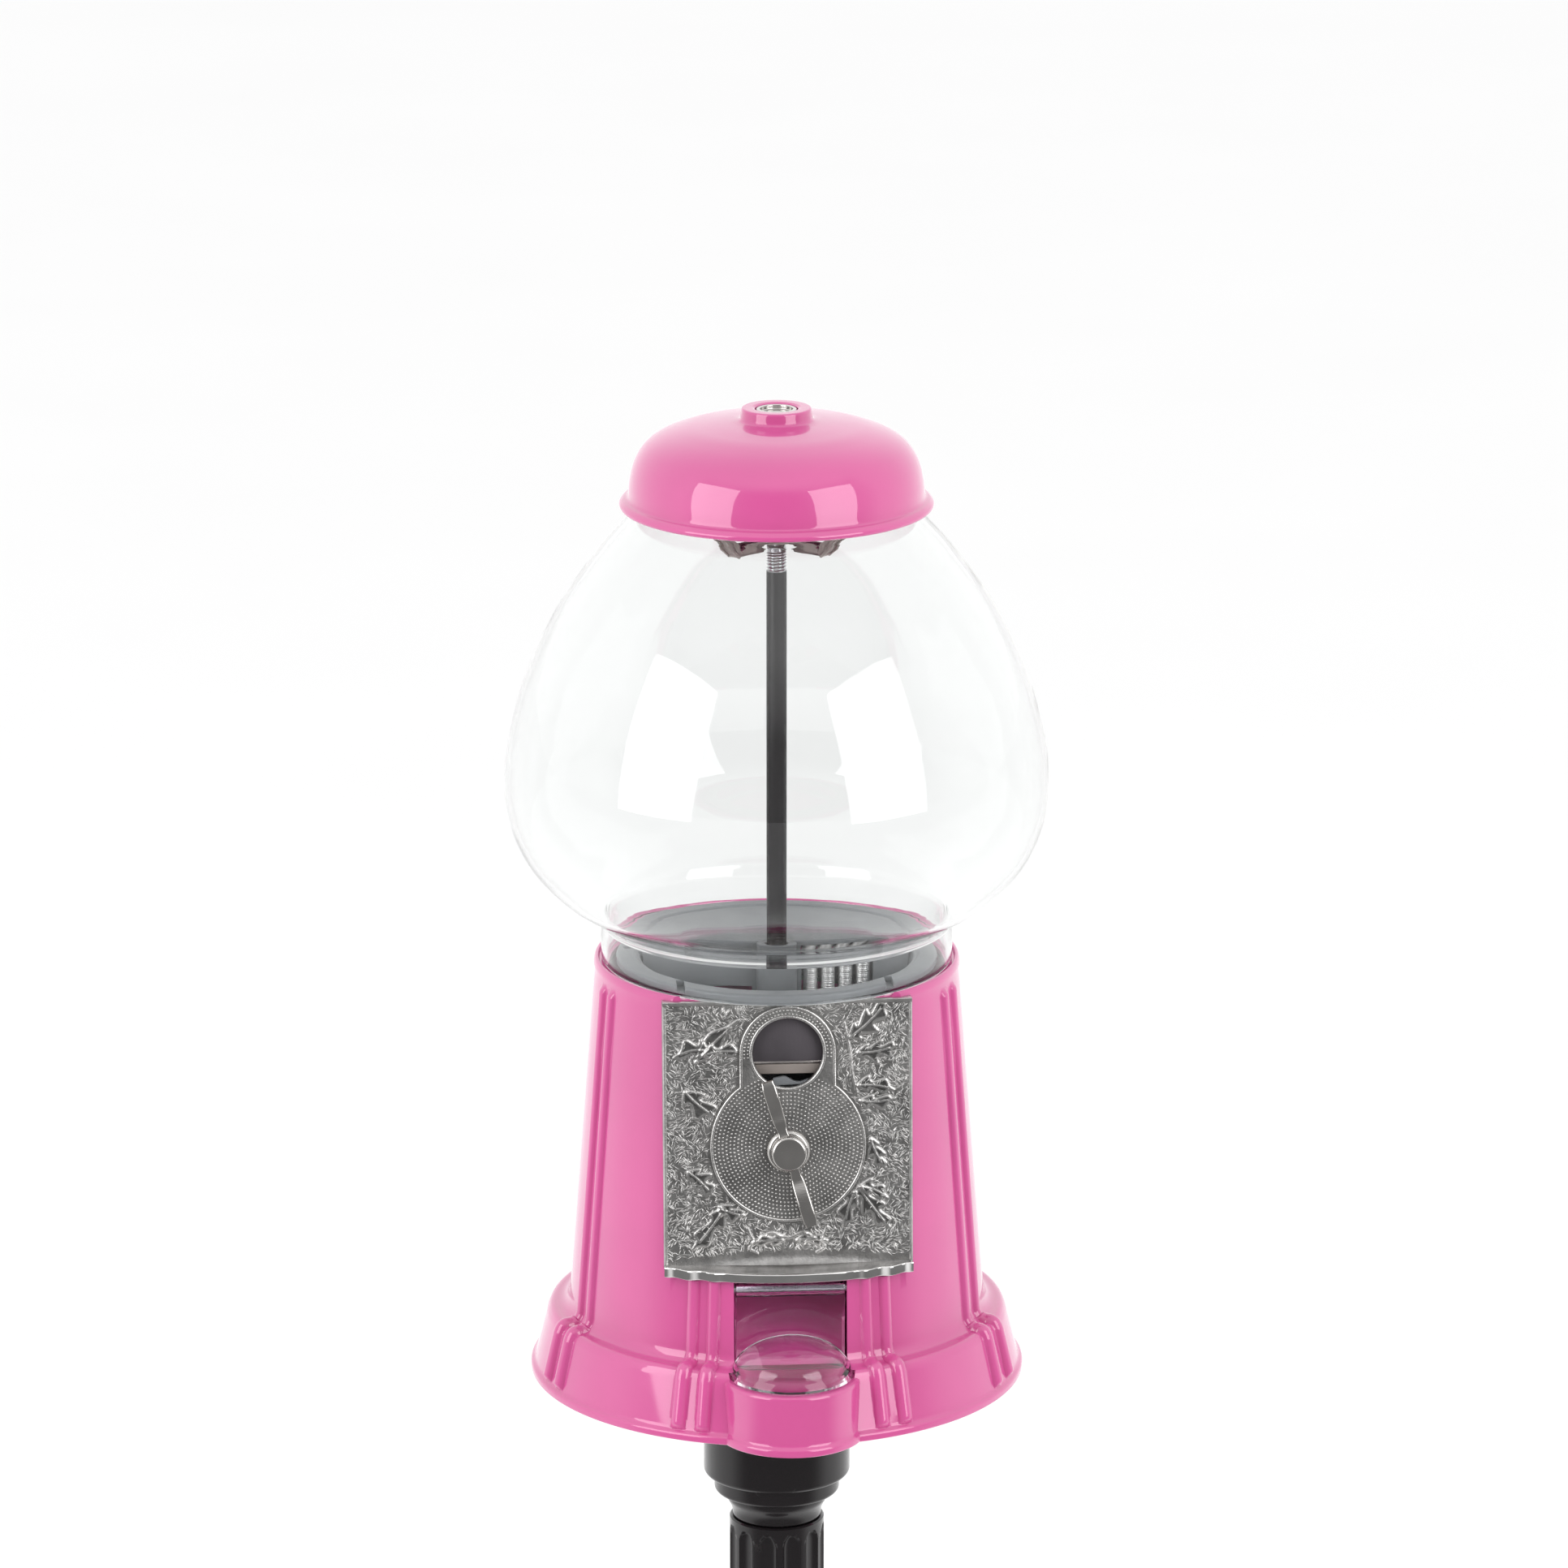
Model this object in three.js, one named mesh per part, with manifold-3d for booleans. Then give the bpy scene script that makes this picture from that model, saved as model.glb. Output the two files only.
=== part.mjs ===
// Gumball machine on a fluted stand, as an assembly of separate solids.
// Millimetres, +Z up, front towards -Y, origin on the floor under the centre rod.
import * as THREE from 'three';
import Module from 'manifold-3d';
import { mergeVertices } from 'three/addons/utils/BufferGeometryUtils.js';

const wasm = await Module();
wasm.setup();

// ---------------------------------------------------------------- driving dimensions

const GAP = 0.3; // between pieces that touch

const STAND = { height: 559, baseRadius: 140, poleRadius: 19, boreRadius: 12, flutes: 12 };
const ROD = { radius: 4, tipRadius: 2.5, top: 375, shoulder: 349, bottom: -20 };
const BODY = { lipRadius: 98, footRadius: 82.3, topRadius: 71.8, foot: 28.6, seat: 169, wall: 3.6 };
const CHUTE = { halfWidth: 22, trayRadius: 27, trayCentre: -82, trayHeight: 24, hingeHeight: 57 };
const PLATE = { halfWidth: 48.5, thickness: 2.3, topY: -59.3, tilt: THREE.MathUtils.degToRad(4.8) };
const HANDLE = { height: 110, lean: THREE.MathUtils.degToRad(16.5), reach: 30, width: 5.4 };
const COIN = { height: 38.6, holeRadius: 13.6, lobeRadius: 18.4, panelRadius: 30 };
const SHELF = { bottom: 61.2, top: 64.9 };
const FRONT_BEADS = [21.5, 27.5]; // degrees round from the front, on each side
const SIDE_BEADS = [64, 71];
const PINION = { teeth: 10, pitchRadius: 16, front: 12.9, back: 18.9 };
const WHEEL = {
  teeth: 30, pitchRadius: 48, flangeRadius: 51.5, drumRadius: 43.5, drumHeight: 5.4, pockets: 3,
};
const DISH = { rimRadius: 63, bowlRadius: 55.4, depth: 21 };
const GLOBE = { height: 190, neckRadius: 69.2, glass: 2.6, mouthRadius: 53.5 };
const SPIDER = { ringRadius: 50.2, ringInner: 42, hubHeight: 335, ringHeight: 352.5 };
const LID = { bottom: 351, flangeRadius: 61, domeRadius: 57.6, height: 41.5, wall: 2.2 };

const plateSlope = Math.tan(PLATE.tilt);
const axisY = PLATE.topY - (BODY.seat - HANDLE.height) * plateSlope;
const meshDepth = (PINION.front + PINION.back) / 2;
const crownPitchZ = HANDLE.height + PINION.pitchRadius * Math.cos(PLATE.tilt)
  - meshDepth * Math.sin(PLATE.tilt);

// ---------------------------------------------------------------- materials

function paint(colour, roughness, metalness, extra = {}) {
  return new THREE.MeshStandardMaterial({ color: colour, roughness, metalness, ...extra });
}

const pinkEnamel = paint(0xe0689f, 0.18, 0.0);
const blackEnamel = paint(0x141314, 0.2, 0.0);
const greyPlastic = paint(0x6f7578, 0.45, 0.0);
const olivePlastic = paint(0x807c72, 0.5, 0.0);
const clearPlastic = paint(0xe9e2ee, 0.05, 0.0, { transparent: true, opacity: 0.3 });
const glass = paint(0xf2f6f5, 0.03, 0.0, { transparent: true, opacity: 0.2 });
const pewter = paint(0x8a8785, 0.4, 0.9);
const polishedMetal = paint(0xb8b4b0, 0.15, 1.0);
const nickel = paint(0xc4b8b1, 0.25, 1.0);
const zincSteel = paint(0xa9abad, 0.3, 1.0);
const darkSteel = paint(0x46434a, 0.5, 0.8);
const rubber = paint(0x1b1b1b, 0.85, 0.0);

// ---------------------------------------------------------------- solids

function signedVolume(positions, faces) {
  const corners = [new THREE.Vector3(), new THREE.Vector3(), new THREE.Vector3()];
  let sum = 0;
  for (let i = 0; i < faces.length; i += 3) {
    corners.forEach((corner, k) => corner.fromArray(positions, faces[i + k] * 3));
    sum += corners[0].dot(corners[1].clone().cross(corners[2]));
  }
  return sum / 6;
}

// A closed three.js geometry as a solid that can be joined and cut.
function solid(geometry) {
  const bare = geometry.clone();
  bare.deleteAttribute('normal');
  bare.deleteAttribute('uv');
  const merged = mergeVertices(bare, 1e-4);
  const positions = new Float32Array(merged.attributes.position.array);
  const faces = [];
  for (let i = 0; i < merged.index.count; i += 3) {
    const face = [0, 1, 2].map((k) => merged.index.getX(i + k));
    if (new Set(face).size === 3) faces.push(...face);
  }
  if (signedVolume(positions, faces) < 0) faces.reverse();
  return new wasm.Manifold(new wasm.Mesh({
    numProp: 3, vertProperties: positions, triVerts: new Uint32Array(faces),
  }));
}

// Adds a solid to a group as one named mesh.
function part(parent, name, shape, material) {
  const { vertProperties, triVerts } = shape.getMesh();
  const geometry = new THREE.BufferGeometry();
  geometry.setAttribute('position', new THREE.BufferAttribute(vertProperties, 3));
  geometry.setIndex(new THREE.BufferAttribute(triVerts, 1));
  geometry.computeVertexNormals();
  const mesh = new THREE.Mesh(geometry, material);
  mesh.name = name;
  parent.add(mesh);
  return mesh;
}

// Turned shape about Z from [radius, height] points; a profile off the axis closes on itself.
function turnedGeometry(profile, segments = 16) {
  const onAxis = profile[0][0] === 0;
  const loop = onAxis ? profile : [...profile, profile[0]];
  const points = loop.map(([r, z]) => new THREE.Vector2(r, z));
  return new THREE.LatheGeometry(points, segments).rotateX(Math.PI / 2);
}
const turned = (profile, segments) => solid(turnedGeometry(profile, segments));
const disc = (r, z0, z1, segments = 16) => turned([[0, z0], [r, z0], [r, z1], [0, z1]], segments);
const ring = (inner, outer, z0, z1, segments = 16) =>
  turned([[inner, z0], [outer, z0], [outer, z1], [inner, z1]], segments);

function blockGeometry([x0, x1], [y0, y1], [z0, z1]) {
  return new THREE.BoxGeometry(x1 - x0, y1 - y0, z1 - z0)
    .translate((x0 + x1) / 2, (y0 + y1) / 2, (z0 + z1) / 2);
}
const block = (xs, ys, zs) => solid(blockGeometry(xs, ys, zs));

// Outline of [x, y] points raised from z0 to z1.
function plateGeometry(outline, z0, z1) {
  const shape = new THREE.Shape(outline.map(([x, y]) => new THREE.Vector2(x, y)));
  return new THREE.ExtrudeGeometry(shape, { depth: z1 - z0, bevelEnabled: false }).translate(0, 0, z0);
}
const slab = (outline, z0, z1) => solid(plateGeometry(outline, z0, z1));

function arc(radius, from, to, steps, centre = [0, 0]) {
  return Array.from({ length: steps + 1 }, (_, i) => {
    const angle = from + ((to - from) * i) / steps;
    return [centre[0] + radius * Math.cos(angle), centre[1] + radius * Math.sin(angle)];
  });
}
const hexNut = (acrossFlats, bore, z0, z1) =>
  disc(acrossFlats / Math.sqrt(3), z0, z1, 6).subtract(disc(bore, z0 - 1, z1 + 1, 20));

const joined = (shapes) => shapes.reduce((sum, shape) => sum.add(shape));
const turns = (count, make) => Array.from({ length: count }, (_, i) => make((i * 2 * Math.PI) / count, i));

// ---------------------------------------------------------------- stand

function flutedTube(z0, z1) {
  const outline = [];
  for (let i = 0; i < STAND.flutes; i += 1) {
    const middle = (i * 2 * Math.PI) / STAND.flutes;
    const half = Math.PI / STAND.flutes;
    outline.push(...arc(STAND.poleRadius, middle - half * 0.35, middle + half * 0.35, 1));
    outline.push(...arc(STAND.poleRadius - 1.8, middle + half * 0.75, middle + half * 1.25, 1));
  }
  return slab(outline, z0, z1).subtract(disc(STAND.boreRadius, z0 - 1, z1 + 1, 24));
}

function buildStand(stand) {
  const bore = STAND.boreRadius;
  const feet = 3;
  const hubTop = 54;
  const coupling = { z0: 262, z1: 286 };
  const collarBottom = STAND.height - 64;

  part(stand, 'stand_base', turned([
    [5, 18], [5, hubTop], [24, hubTop], [24, hubTop - 10], [27, hubTop - 16], [42, 30], [70, 22],
    [110, 16], [132, 11], [STAND.baseRadius, 8], [STAND.baseRadius, feet + GAP],
    [132, feet + GAP], [128, 7], [20, 12], [20, 18],
  ], 28), blackEnamel);
  turns(4, (angle, i) => {
    const foot = turnedGeometry([[0, 0], [9, 0], [10, 1], [10, feet], [0, feet]], 20)
      .translate(130 * Math.cos(angle + Math.PI / 4), 130 * Math.sin(angle + Math.PI / 4), 0);
    part(stand, `stand_foot_${i + 1}`, solid(foot), rubber);
  });
  part(stand, 'stand_pole_lower', flutedTube(hubTop + GAP, coupling.z0 - GAP), blackEnamel);
  part(stand, 'stand_pole_coupling', turned([
    [bore, coupling.z0], [21, coupling.z0], [22.5, coupling.z0 + 4], [22.5, coupling.z1 - 4],
    [21, coupling.z1], [bore, coupling.z1],
  ], 20), blackEnamel);
  part(stand, 'stand_pole_upper', flutedTube(coupling.z1 + GAP, collarBottom - GAP), blackEnamel);

  const h = STAND.height;
  part(stand, 'stand_top_collar', turned([
    [bore, collarBottom], [17.6, collarBottom], [18, h - 61], [20.5, h - 56.5], [21, h - 53.3],
    [23.8, h - 53], [24.75, h - 52], [24.75, h - 46], [27.5, h - 45], [28.9, h - 43.6],
    [29, h - 4], [27.5, h - GAP], [ROD.radius + GAP, h - GAP], [ROD.radius + GAP, h - 4],
    [bore, h - 4],
  ], 24), blackEnamel);

  part(stand, 'stand_tie_rod', disc(4, 8, h - 21, 20), zincSteel);
  part(stand, 'tie_rod_washer', ring(4.3, 12, 16.2, 17.7), zincSteel);
  part(stand, 'tie_rod_nut', hexNut(13, 4.3, 9.4, 15.9), zincSteel);
  part(stand, 'rod_coupler', hexNut(13, 4.3, h - 42, h - 4.4), zincSteel);
}

// ---------------------------------------------------------------- base

function bodyRadius(z) {
  const slope = (BODY.topRadius - BODY.footRadius) / (165 - BODY.foot);
  return BODY.footRadius + (z - BODY.foot) * slope;
}

// Upright bead on the wall at an angle from the front, running over the skirt as well.
function wallBead(angle, top) {
  const lean = Math.atan((BODY.footRadius - BODY.topRadius) / (165 - BODY.foot));
  const wall = blockGeometry([-2.2, 2.2], [-1.4, 2.6], [0, top - BODY.foot])
    .rotateX(-lean).translate(0, -BODY.footRadius + 0.4, BODY.foot - 3);
  const skirt = blockGeometry([-2.2, 2.2], [-1.4, 2.2], [0, 21]).rotateX(-0.28).translate(0, -94.6, 4.8);
  return solid(wall.rotateZ(angle)).add(solid(skirt.rotateZ(angle)));
}

const inPlateFrame = (geometry) =>
  geometry.rotateX(Math.PI / 2 - PLATE.tilt).translate(0, axisY, HANDLE.height);

function floorScrewSpots(make) {
  return turns(3, (angle, i) => make(-80 * Math.sin(angle), 80 * Math.cos(angle), i));
}

function baseBody() {
  const seat = BODY.seat;
  let body = turned([
    [BODY.lipRadius, 0], [BODY.lipRadius, 3], [95.2, 5], [89.6, 24], [88, 26.2],
    [83.8, 26.8], [BODY.footRadius, BODY.foot], [BODY.topRadius, 165], [71.6, seat + 1.2],
    [70.4, seat + 1.6], [69.9, seat], [65.6, seat], [65.6, seat - 2.4], [68, seat - 6],
    [BODY.footRadius - BODY.wall, 30], [85.6, 22], [90.6, 5], [93, 0],
  ], 36);

  // Four lugs on the ledge carry the hopper dish.
  turns(4, (angle) => solid(
    blockGeometry([60.6, 67], [-4, 4], [seat - 4, seat]).rotateZ(angle + Math.PI / 4),
  )).forEach((lug) => { body = body.add(lug); });

  const radians = THREE.MathUtils.degToRad;
  for (const side of [-1, 1]) {
    for (const degrees of SIDE_BEADS) body = body.add(wallBead(side * radians(degrees), BODY.seat - 7));
    for (const degrees of FRONT_BEADS) {
      body = body.add(wallBead(side * radians(degrees), SHELF.bottom - 3.2));
    }
  }

  const tray = turnedGeometry([
    [0, 0], [CHUTE.trayRadius + 1.6, 0], [CHUTE.trayRadius + 1.6, 3], [CHUTE.trayRadius, 4.6],
    [CHUTE.trayRadius, CHUTE.trayHeight - 1.5], [CHUTE.trayRadius - 1.5, CHUTE.trayHeight],
    [0, CHUTE.trayHeight],
  ], 24).translate(0, CHUTE.trayCentre, 0);
  body = body.add(solid(tray).subtract(disc(76, -1, 40, 24)).subtract(disc(88.4, -1, 6.3, 32)));

  const trayHollow = turnedGeometry([
    [0, 12], [22.6, 12], [22.6, CHUTE.trayHeight], [25.4, CHUTE.trayHeight], [25.4, 27.4], [21, 27.4],
    [21, 58], [0, 58],
  ], 24).translate(0, CHUTE.trayCentre, 0);
  const window = block([-CHUTE.halfWidth, CHUTE.halfWidth], [-90, -60], [CHUTE.trayHeight, 80]);
  const plateSeat = blockGeometry([-70, 70], [-50.4, 90], [-PLATE.thickness - GAP, 60]);
  body = body.subtract(solid(trayHollow)).subtract(window).subtract(solid(inPlateFrame(plateSeat)));

  const bosses = floorScrewSpots((x, y) => solid(turnedGeometry(
    [[2, 6.3], [6, 6.3], [6, 24], [2, 24]], 10,
  ).translate(x, y, 0)));
  bosses.forEach((boss) => { body = body.add(boss); });
  const pinHoles = solid(new THREE.CylinderGeometry(1.8, 1.8, 2 * CHUTE.halfWidth + 5, 12)
    .rotateZ(Math.PI / 2)
    .translate(0, -75, CHUTE.hingeHeight));
  return body.subtract(pinHoles);
}

// Sloping tray that leads from under the wheel to the chute window.
function chuteRamp() {
  const slope = Math.atan(68 / 126);
  const outline = (inset) => [
    [-21.2 + inset, 0], [21.2 - inset, 0], [21.2 - inset, 40], [44 - inset, 96], [44 - inset, 134],
    [-44 + inset, 134], [-44 + inset, 96], [-21.2 + inset, 40],
  ];
  const place = (geometry) => geometry.rotateX(slope).translate(0, -75.5, 25.5);
  const shell = solid(place(plateGeometry(outline(0), -2, 14)));
  const hollow = solid(place(plateGeometry(outline(1.8), 0, 15)));
  const mouth = solid(place(blockGeometry([-19.4, 19.4], [-5, 10], [0, 15])));
  const inFrontOf = block([-60, 60], [-100, -71.6], [0, 100]);
  return shell.subtract(hollow).subtract(mouth).subtract(inFrontOf)
    .subtract(disc(ROD.radius + 1.5, 20, 120, 14));
}

function buildBase(base) {
  part(base, 'base_body', baseBody(), pinkEnamel);
  part(base, 'chute_ramp', chuteRamp(), pinkEnamel);

  let floor = ring(ROD.radius + GAP, 88, 4, 6, 32);
  floorScrewSpots((x, y) => {
    floor = floor.subtract(solid(turnedGeometry([[0, 3], [2, 3], [2, 7], [0, 7]], 10).translate(x, y, 0)));
  });
  part(base, 'base_floor', floor, blackEnamel);
  floorScrewSpots((x, y, i) => {
    const screw = turnedGeometry([[0, 1.6], [3.6, 1.6], [3.6, 3.7], [1.6, 3.7], [1.6, 18], [0, 18]], 10);
    part(base, `floor_screw_${i + 1}`, solid(screw.translate(x, y, 0)), zincSteel);
  });
  part(base, 'rod_washer_lower', ring(ROD.radius + GAP, 14, 6.3, 7.8), zincSteel);
  part(base, 'rod_nut_lower', hexNut(13, ROD.radius + GAP, 8.1, 14.6), zincSteel);

  const thread = ROD.top - 1;
  part(base, 'center_rod', turned([
    [0, ROD.bottom], [ROD.radius, ROD.bottom], [ROD.radius, 345.5], [ROD.tipRadius - 0.4, 346.5],
    [ROD.tipRadius - 0.4, ROD.shoulder], [ROD.tipRadius, ROD.shoulder + 0.5], [ROD.tipRadius, thread],
    [ROD.tipRadius - 0.7, ROD.top], [0, ROD.top],
  ], 14), zincSteel);
}

// ---------------------------------------------------------------- coin plate and mechanism
// Modelled in the plate's own frame: X across, Y up the plate, Z out of its front face,
// with the origin where the handle's axis meets that face.

function keyhole(radius, lobe, z0, z1) {
  const lobeDisc = turnedGeometry([[0, z0], [lobe, z0], [lobe, z1], [0, z1]], 24);
  return disc(radius, z0, z1, 30).add(solid(lobeDisc.translate(0, COIN.height, 0)));
}

const roundHole = (r, x, y) => solid(turnedGeometry([[0, -30], [r, -30], [r, 30], [0, 30]], 20)
  .translate(x, y, 0));

function coinPlate() {
  const w = PLATE.halfWidth;
  const top = (BODY.seat - 0.2 - HANDLE.height) / Math.cos(PLATE.tilt);
  const bottom = (SHELF.bottom + 1 - HANDLE.height) / Math.cos(PLATE.tilt);
  const raised = 0.9;
  let plate = block([-w, w], [bottom, top], [-PLATE.thickness, 0]);
  const frame = block([-w, w], [bottom, top], [-1, raised])
    .subtract(block([-w + 1.6, w - 1.6], [bottom + 1.6, top - 1.6], [-2, 2]));
  plate = plate.add(frame).add(keyhole(COIN.panelRadius, COIN.lobeRadius, -1, 1.3));

  // Shelf that spreads from the flat plate out to the round wall below it.
  const reach = bodyRadius(SHELF.top) + 2;
  const shelfY = axisY + (bottom - 1) * Math.sin(PLATE.tilt);
  const bulge = Array.from({ length: 17 }, (_, i) => {
    const across = i / 8 - 1;
    return [across * w, shelfY + (-reach - shelfY) * (1 - across ** 2)];
  });
  const outline = [...bulge, [w, shelfY + 1.5], [-w, shelfY + 1.5]];
  const shelf = plateGeometry(outline, SHELF.bottom, SHELF.top)
    .translate(0, -axisY, -HANDLE.height).rotateX(PLATE.tilt - Math.PI / 2);
  plate = plate.add(solid(shelf));
  return plate.subtract(roundHole(COIN.holeRadius, 0, COIN.height)).subtract(roundHole(5.2, 0, 0));
}

function handleStrap() {
  const steps = 8;
  const lift = (s) => 5.6 + 2.8 * (s / HANDLE.reach) ** 2;
  const side = (offset) => Array.from({ length: steps + 1 }, (_, i) => {
    const s = -HANDLE.reach + (2 * HANDLE.reach * i) / steps;
    return [s, lift(s) + offset];
  });
  const outline = [...side(0), ...side(1.8).reverse()];
  const strap = plateGeometry(outline, -HANDLE.width / 2, HANDLE.width / 2)
    .rotateX(Math.PI / 2).rotateZ(Math.PI / 2 + HANDLE.lean);
  return solid(strap).add(disc(7, 4.6, 8));
}

function pinionGear() {
  const outline = [];
  const pitch = (2 * Math.PI) / PINION.teeth;
  const [root, tip] = [PINION.pitchRadius - 3.2, PINION.pitchRadius + 2.2];
  for (let i = 0; i < PINION.teeth; i += 1) {
    const middle = Math.PI / 2 + (i + 0.5) * pitch;
    outline.push(...arc(root, middle - 0.3 * pitch, middle - 0.27 * pitch, 1));
    outline.push(...arc(tip, middle - 0.1 * pitch, middle + 0.1 * pitch, 1));
    outline.push(...arc(root, middle + 0.27 * pitch, middle + 0.3 * pitch, 1));
  }
  return slab(outline, -PINION.back, -PINION.front).subtract(disc(4.3, -30, 0, 20));
}

function coinCarrier() {
  const outline = [];
  const ratchets = 12;
  turns(ratchets, (angle) => outline.push(
    ...arc(27, angle, angle + 0.02, 1), ...arc(25.4, angle + 0.04, angle + 0.06, 1),
  ));
  return slab(outline, -6.2, -3).subtract(roundHole(9, 0, 27)).subtract(disc(4.3, -30, 0, 20));
}

function mechanismFrame() {
  const back = block([-32, 32], [-16, 10], [-23, -21]);
  const arms = [-1, 1].map((side) => block(
    [Math.min(side * 30, side * 32), Math.max(side * 30, side * 32)], [-16, 10],
    [-22, -PLATE.thickness - GAP],
  ));
  return joined([back, ...arms]).subtract(disc(4.3, -30, 0, 20));
}

const pawlPivot = [15, -31];
function pawl() {
  const lever = slab([
    [-0.4, -27.6], [2.2, -31.4], [13, -34], [18.5, -32], [16, -27.6], [5, -27.9],
  ], -6, -3.4);
  return lever.subtract(roundHole(1.9, ...pawlPivot));
}

function buildFront(front) {
  part(front, 'coin_plate', coinPlate(), pewter);

  const shieldDisc = disc(COIN.holeRadius + 1.2, -3.8, -PLATE.thickness - GAP)
    .subtract(block([-20, 20], [-20, -4], [-10, 10]));
  part(front, 'coin_shield', shieldDisc, darkSteel).position.y = COIN.height;
  const underShield = COIN.height - 4;
  const behindPlate = -PLATE.thickness - GAP;
  part(front, 'coin_bar', block([-16, 16], [underShield - 5, underShield - 1.2], [-5, behindPlate]),
    olivePlastic);
  part(front, 'coin_catch', slab([
    [-6, underShield - 13], [9, underShield - 13], [8, underShield - 6.5], [4, underShield - 8.5],
    [-1, underShield - 5.4], [-6, underShield - 6.5],
  ], behindPlate, -0.5).intersect(roundHole(COIN.holeRadius - GAP, 0, COIN.height)), greyPlastic);

  part(front, 'handle', handleStrap(), polishedMetal);
  part(front, 'handle_collar', ring(4.3, 8.5, 1.6, 4.3), polishedMetal);
  part(front, 'handle_shaft', disc(4, -26, 4.3, 20), zincSteel);
  part(front, 'coin_carrier', coinCarrier(), zincSteel);
  part(front, 'carrier_spacer', ring(4.3, 7, -12.6, -6.5, 20), zincSteel);
  part(front, 'drive_pinion', pinionGear(), greyPlastic);
  part(front, 'shaft_nut', hexNut(10, 4.3, -25.9, -23.3), zincSteel);
  part(front, 'mechanism_frame', mechanismFrame(), zincSteel);
  part(front, 'pawl', pawl(), zincSteel);
  const [px, py] = pawlPivot;
  part(front, 'pawl_pin', disc(1.6, -11, behindPlate, 14), zincSteel).position.set(px, py, 0);
  part(front, 'pawl_spring', ring(2, 3.2, -9.5, -6.5, 16), zincSteel).position.set(px, py, 0);
}

// ---------------------------------------------------------------- chute door

function buildDoor(base) {
  const pinY = -75;
  const floor = CHUTE.trayHeight + GAP;
  const pin = new THREE.CylinderGeometry(1.5, 1.5, 2 * CHUTE.halfWidth + 4, 12)
    .rotateZ(Math.PI / 2).translate(0, pinY, CHUTE.hingeHeight);
  part(base, 'door_pin', solid(pin), zincSteel);

  const halfWidth = CHUTE.halfWidth - 0.7;
  const face = [pinY - 3, pinY - 1.4];
  const flap = block([-halfWidth, halfWidth], face, [floor, CHUTE.hingeHeight + 2.4]);
  const barrel = solid(new THREE.CylinderGeometry(3, 3, 2 * halfWidth, 12)
    .rotateZ(Math.PI / 2).translate(0, pinY, CHUTE.hingeHeight));
  const bore = solid(new THREE.CylinderGeometry(1.8, 1.8, 60, 12)
    .rotateZ(Math.PI / 2).translate(0, pinY, CHUTE.hingeHeight));

  const radius = 23.4;
  const dome = (r) => solid(new THREE.SphereGeometry(r, 18, 10).rotateX(Math.PI / 2)
    .scale(1, 1, 0.68).translate(0, CHUTE.trayCentre + 1, floor));
  const frontHalf = block([-40, 40], [-120, -83.4], [floor, 90])
    .add(block([-halfWidth, halfWidth], [-84, face[0] + 0.4], [floor, 90]));
  const lipRing = solid(turnedGeometry(
    [[radius - 2, floor], [radius + 1.2, floor], [radius + 1.2, floor + 2], [radius - 2, floor + 2]], 24,
  ).translate(0, CHUTE.trayCentre + 1, 0));
  const bubble = dome(radius).add(lipRing).intersect(frontHalf).subtract(dome(radius - 1.6));
  const inside = dome(radius - 1.6).intersect(block([-40, 40], [-120, face[1] + 5], [0, 90]));
  const door = flap.subtract(inside).add(barrel).add(bubble).subtract(bore);
  part(base, 'chute_door', door, clearPlastic);
}

// ---------------------------------------------------------------- pieces that slide on the rod

function dispensingWheel() {
  const flange = [crownPitchZ + 3, crownPitchZ + 6];
  const toothDepth = 5.6;
  const tooth = (angle) => {
    const section = [[-2.1, 0.2], [-1.2, -toothDepth], [1.2, -toothDepth], [2.1, 0.2]];
    return solid(plateGeometry(section, 44.5, WHEEL.flangeRadius).rotateX(Math.PI / 2)
      .translate(0, 0, flange[0]).rotateZ(angle));
  };
  const disk = ring(ROD.radius + GAP, WHEEL.flangeRadius, flange[0], flange[1], 30);
  const drumTop = flange[1] + WHEEL.drumHeight;
  const drum = ring(ROD.radius + GAP, WHEEL.drumRadius, flange[1] - 0.5, drumTop, 30);
  const wall = ring(WHEEL.drumRadius - 2.2, WHEEL.drumRadius, drumTop - 0.5, drumTop + 1.6, 30);
  const hub = ring(ROD.radius + GAP, 9, flange[0] - 4, flange[1] + 8);
  const pocket = (angle) => solid(plateGeometry([
    ...arc(39.5, -Math.PI / 6, Math.PI / 6, 5), ...arc(14, Math.PI / 6, -Math.PI / 6, 3),
  ], 100, 160).rotateZ(angle - Math.PI / 6));
  const teeth = turns(WHEEL.teeth, tooth);
  const pockets = turns(WHEEL.pockets, pocket);
  return pockets.reduce((wheel, hole) => wheel.subtract(hole), joined([disk, drum, wall, hub, ...teeth]));
}

// Three-winged plate that lies on the wheel and divides its pockets.
function wingPlate(z) {
  const wings = turns(WHEEL.pockets, (angle) => solid(plateGeometry([
    ...arc(40.6, -Math.PI / 6, Math.PI / 6, 5), ...arc(12, Math.PI / 6, -Math.PI / 6, 3),
  ], z, z + 1).rotateZ(angle + Math.PI / 6)));
  const bumps = turns(WHEEL.pockets, (angle) => solid(
    turnedGeometry([[0, z], [3, z], [0, z + 2.2]], 4).translate(20, 0, 0).rotateZ(angle + Math.PI / 6),
  ));
  return joined([...wings, ...bumps, ring(9.4, 14, z, z + 1)]);
}

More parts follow.
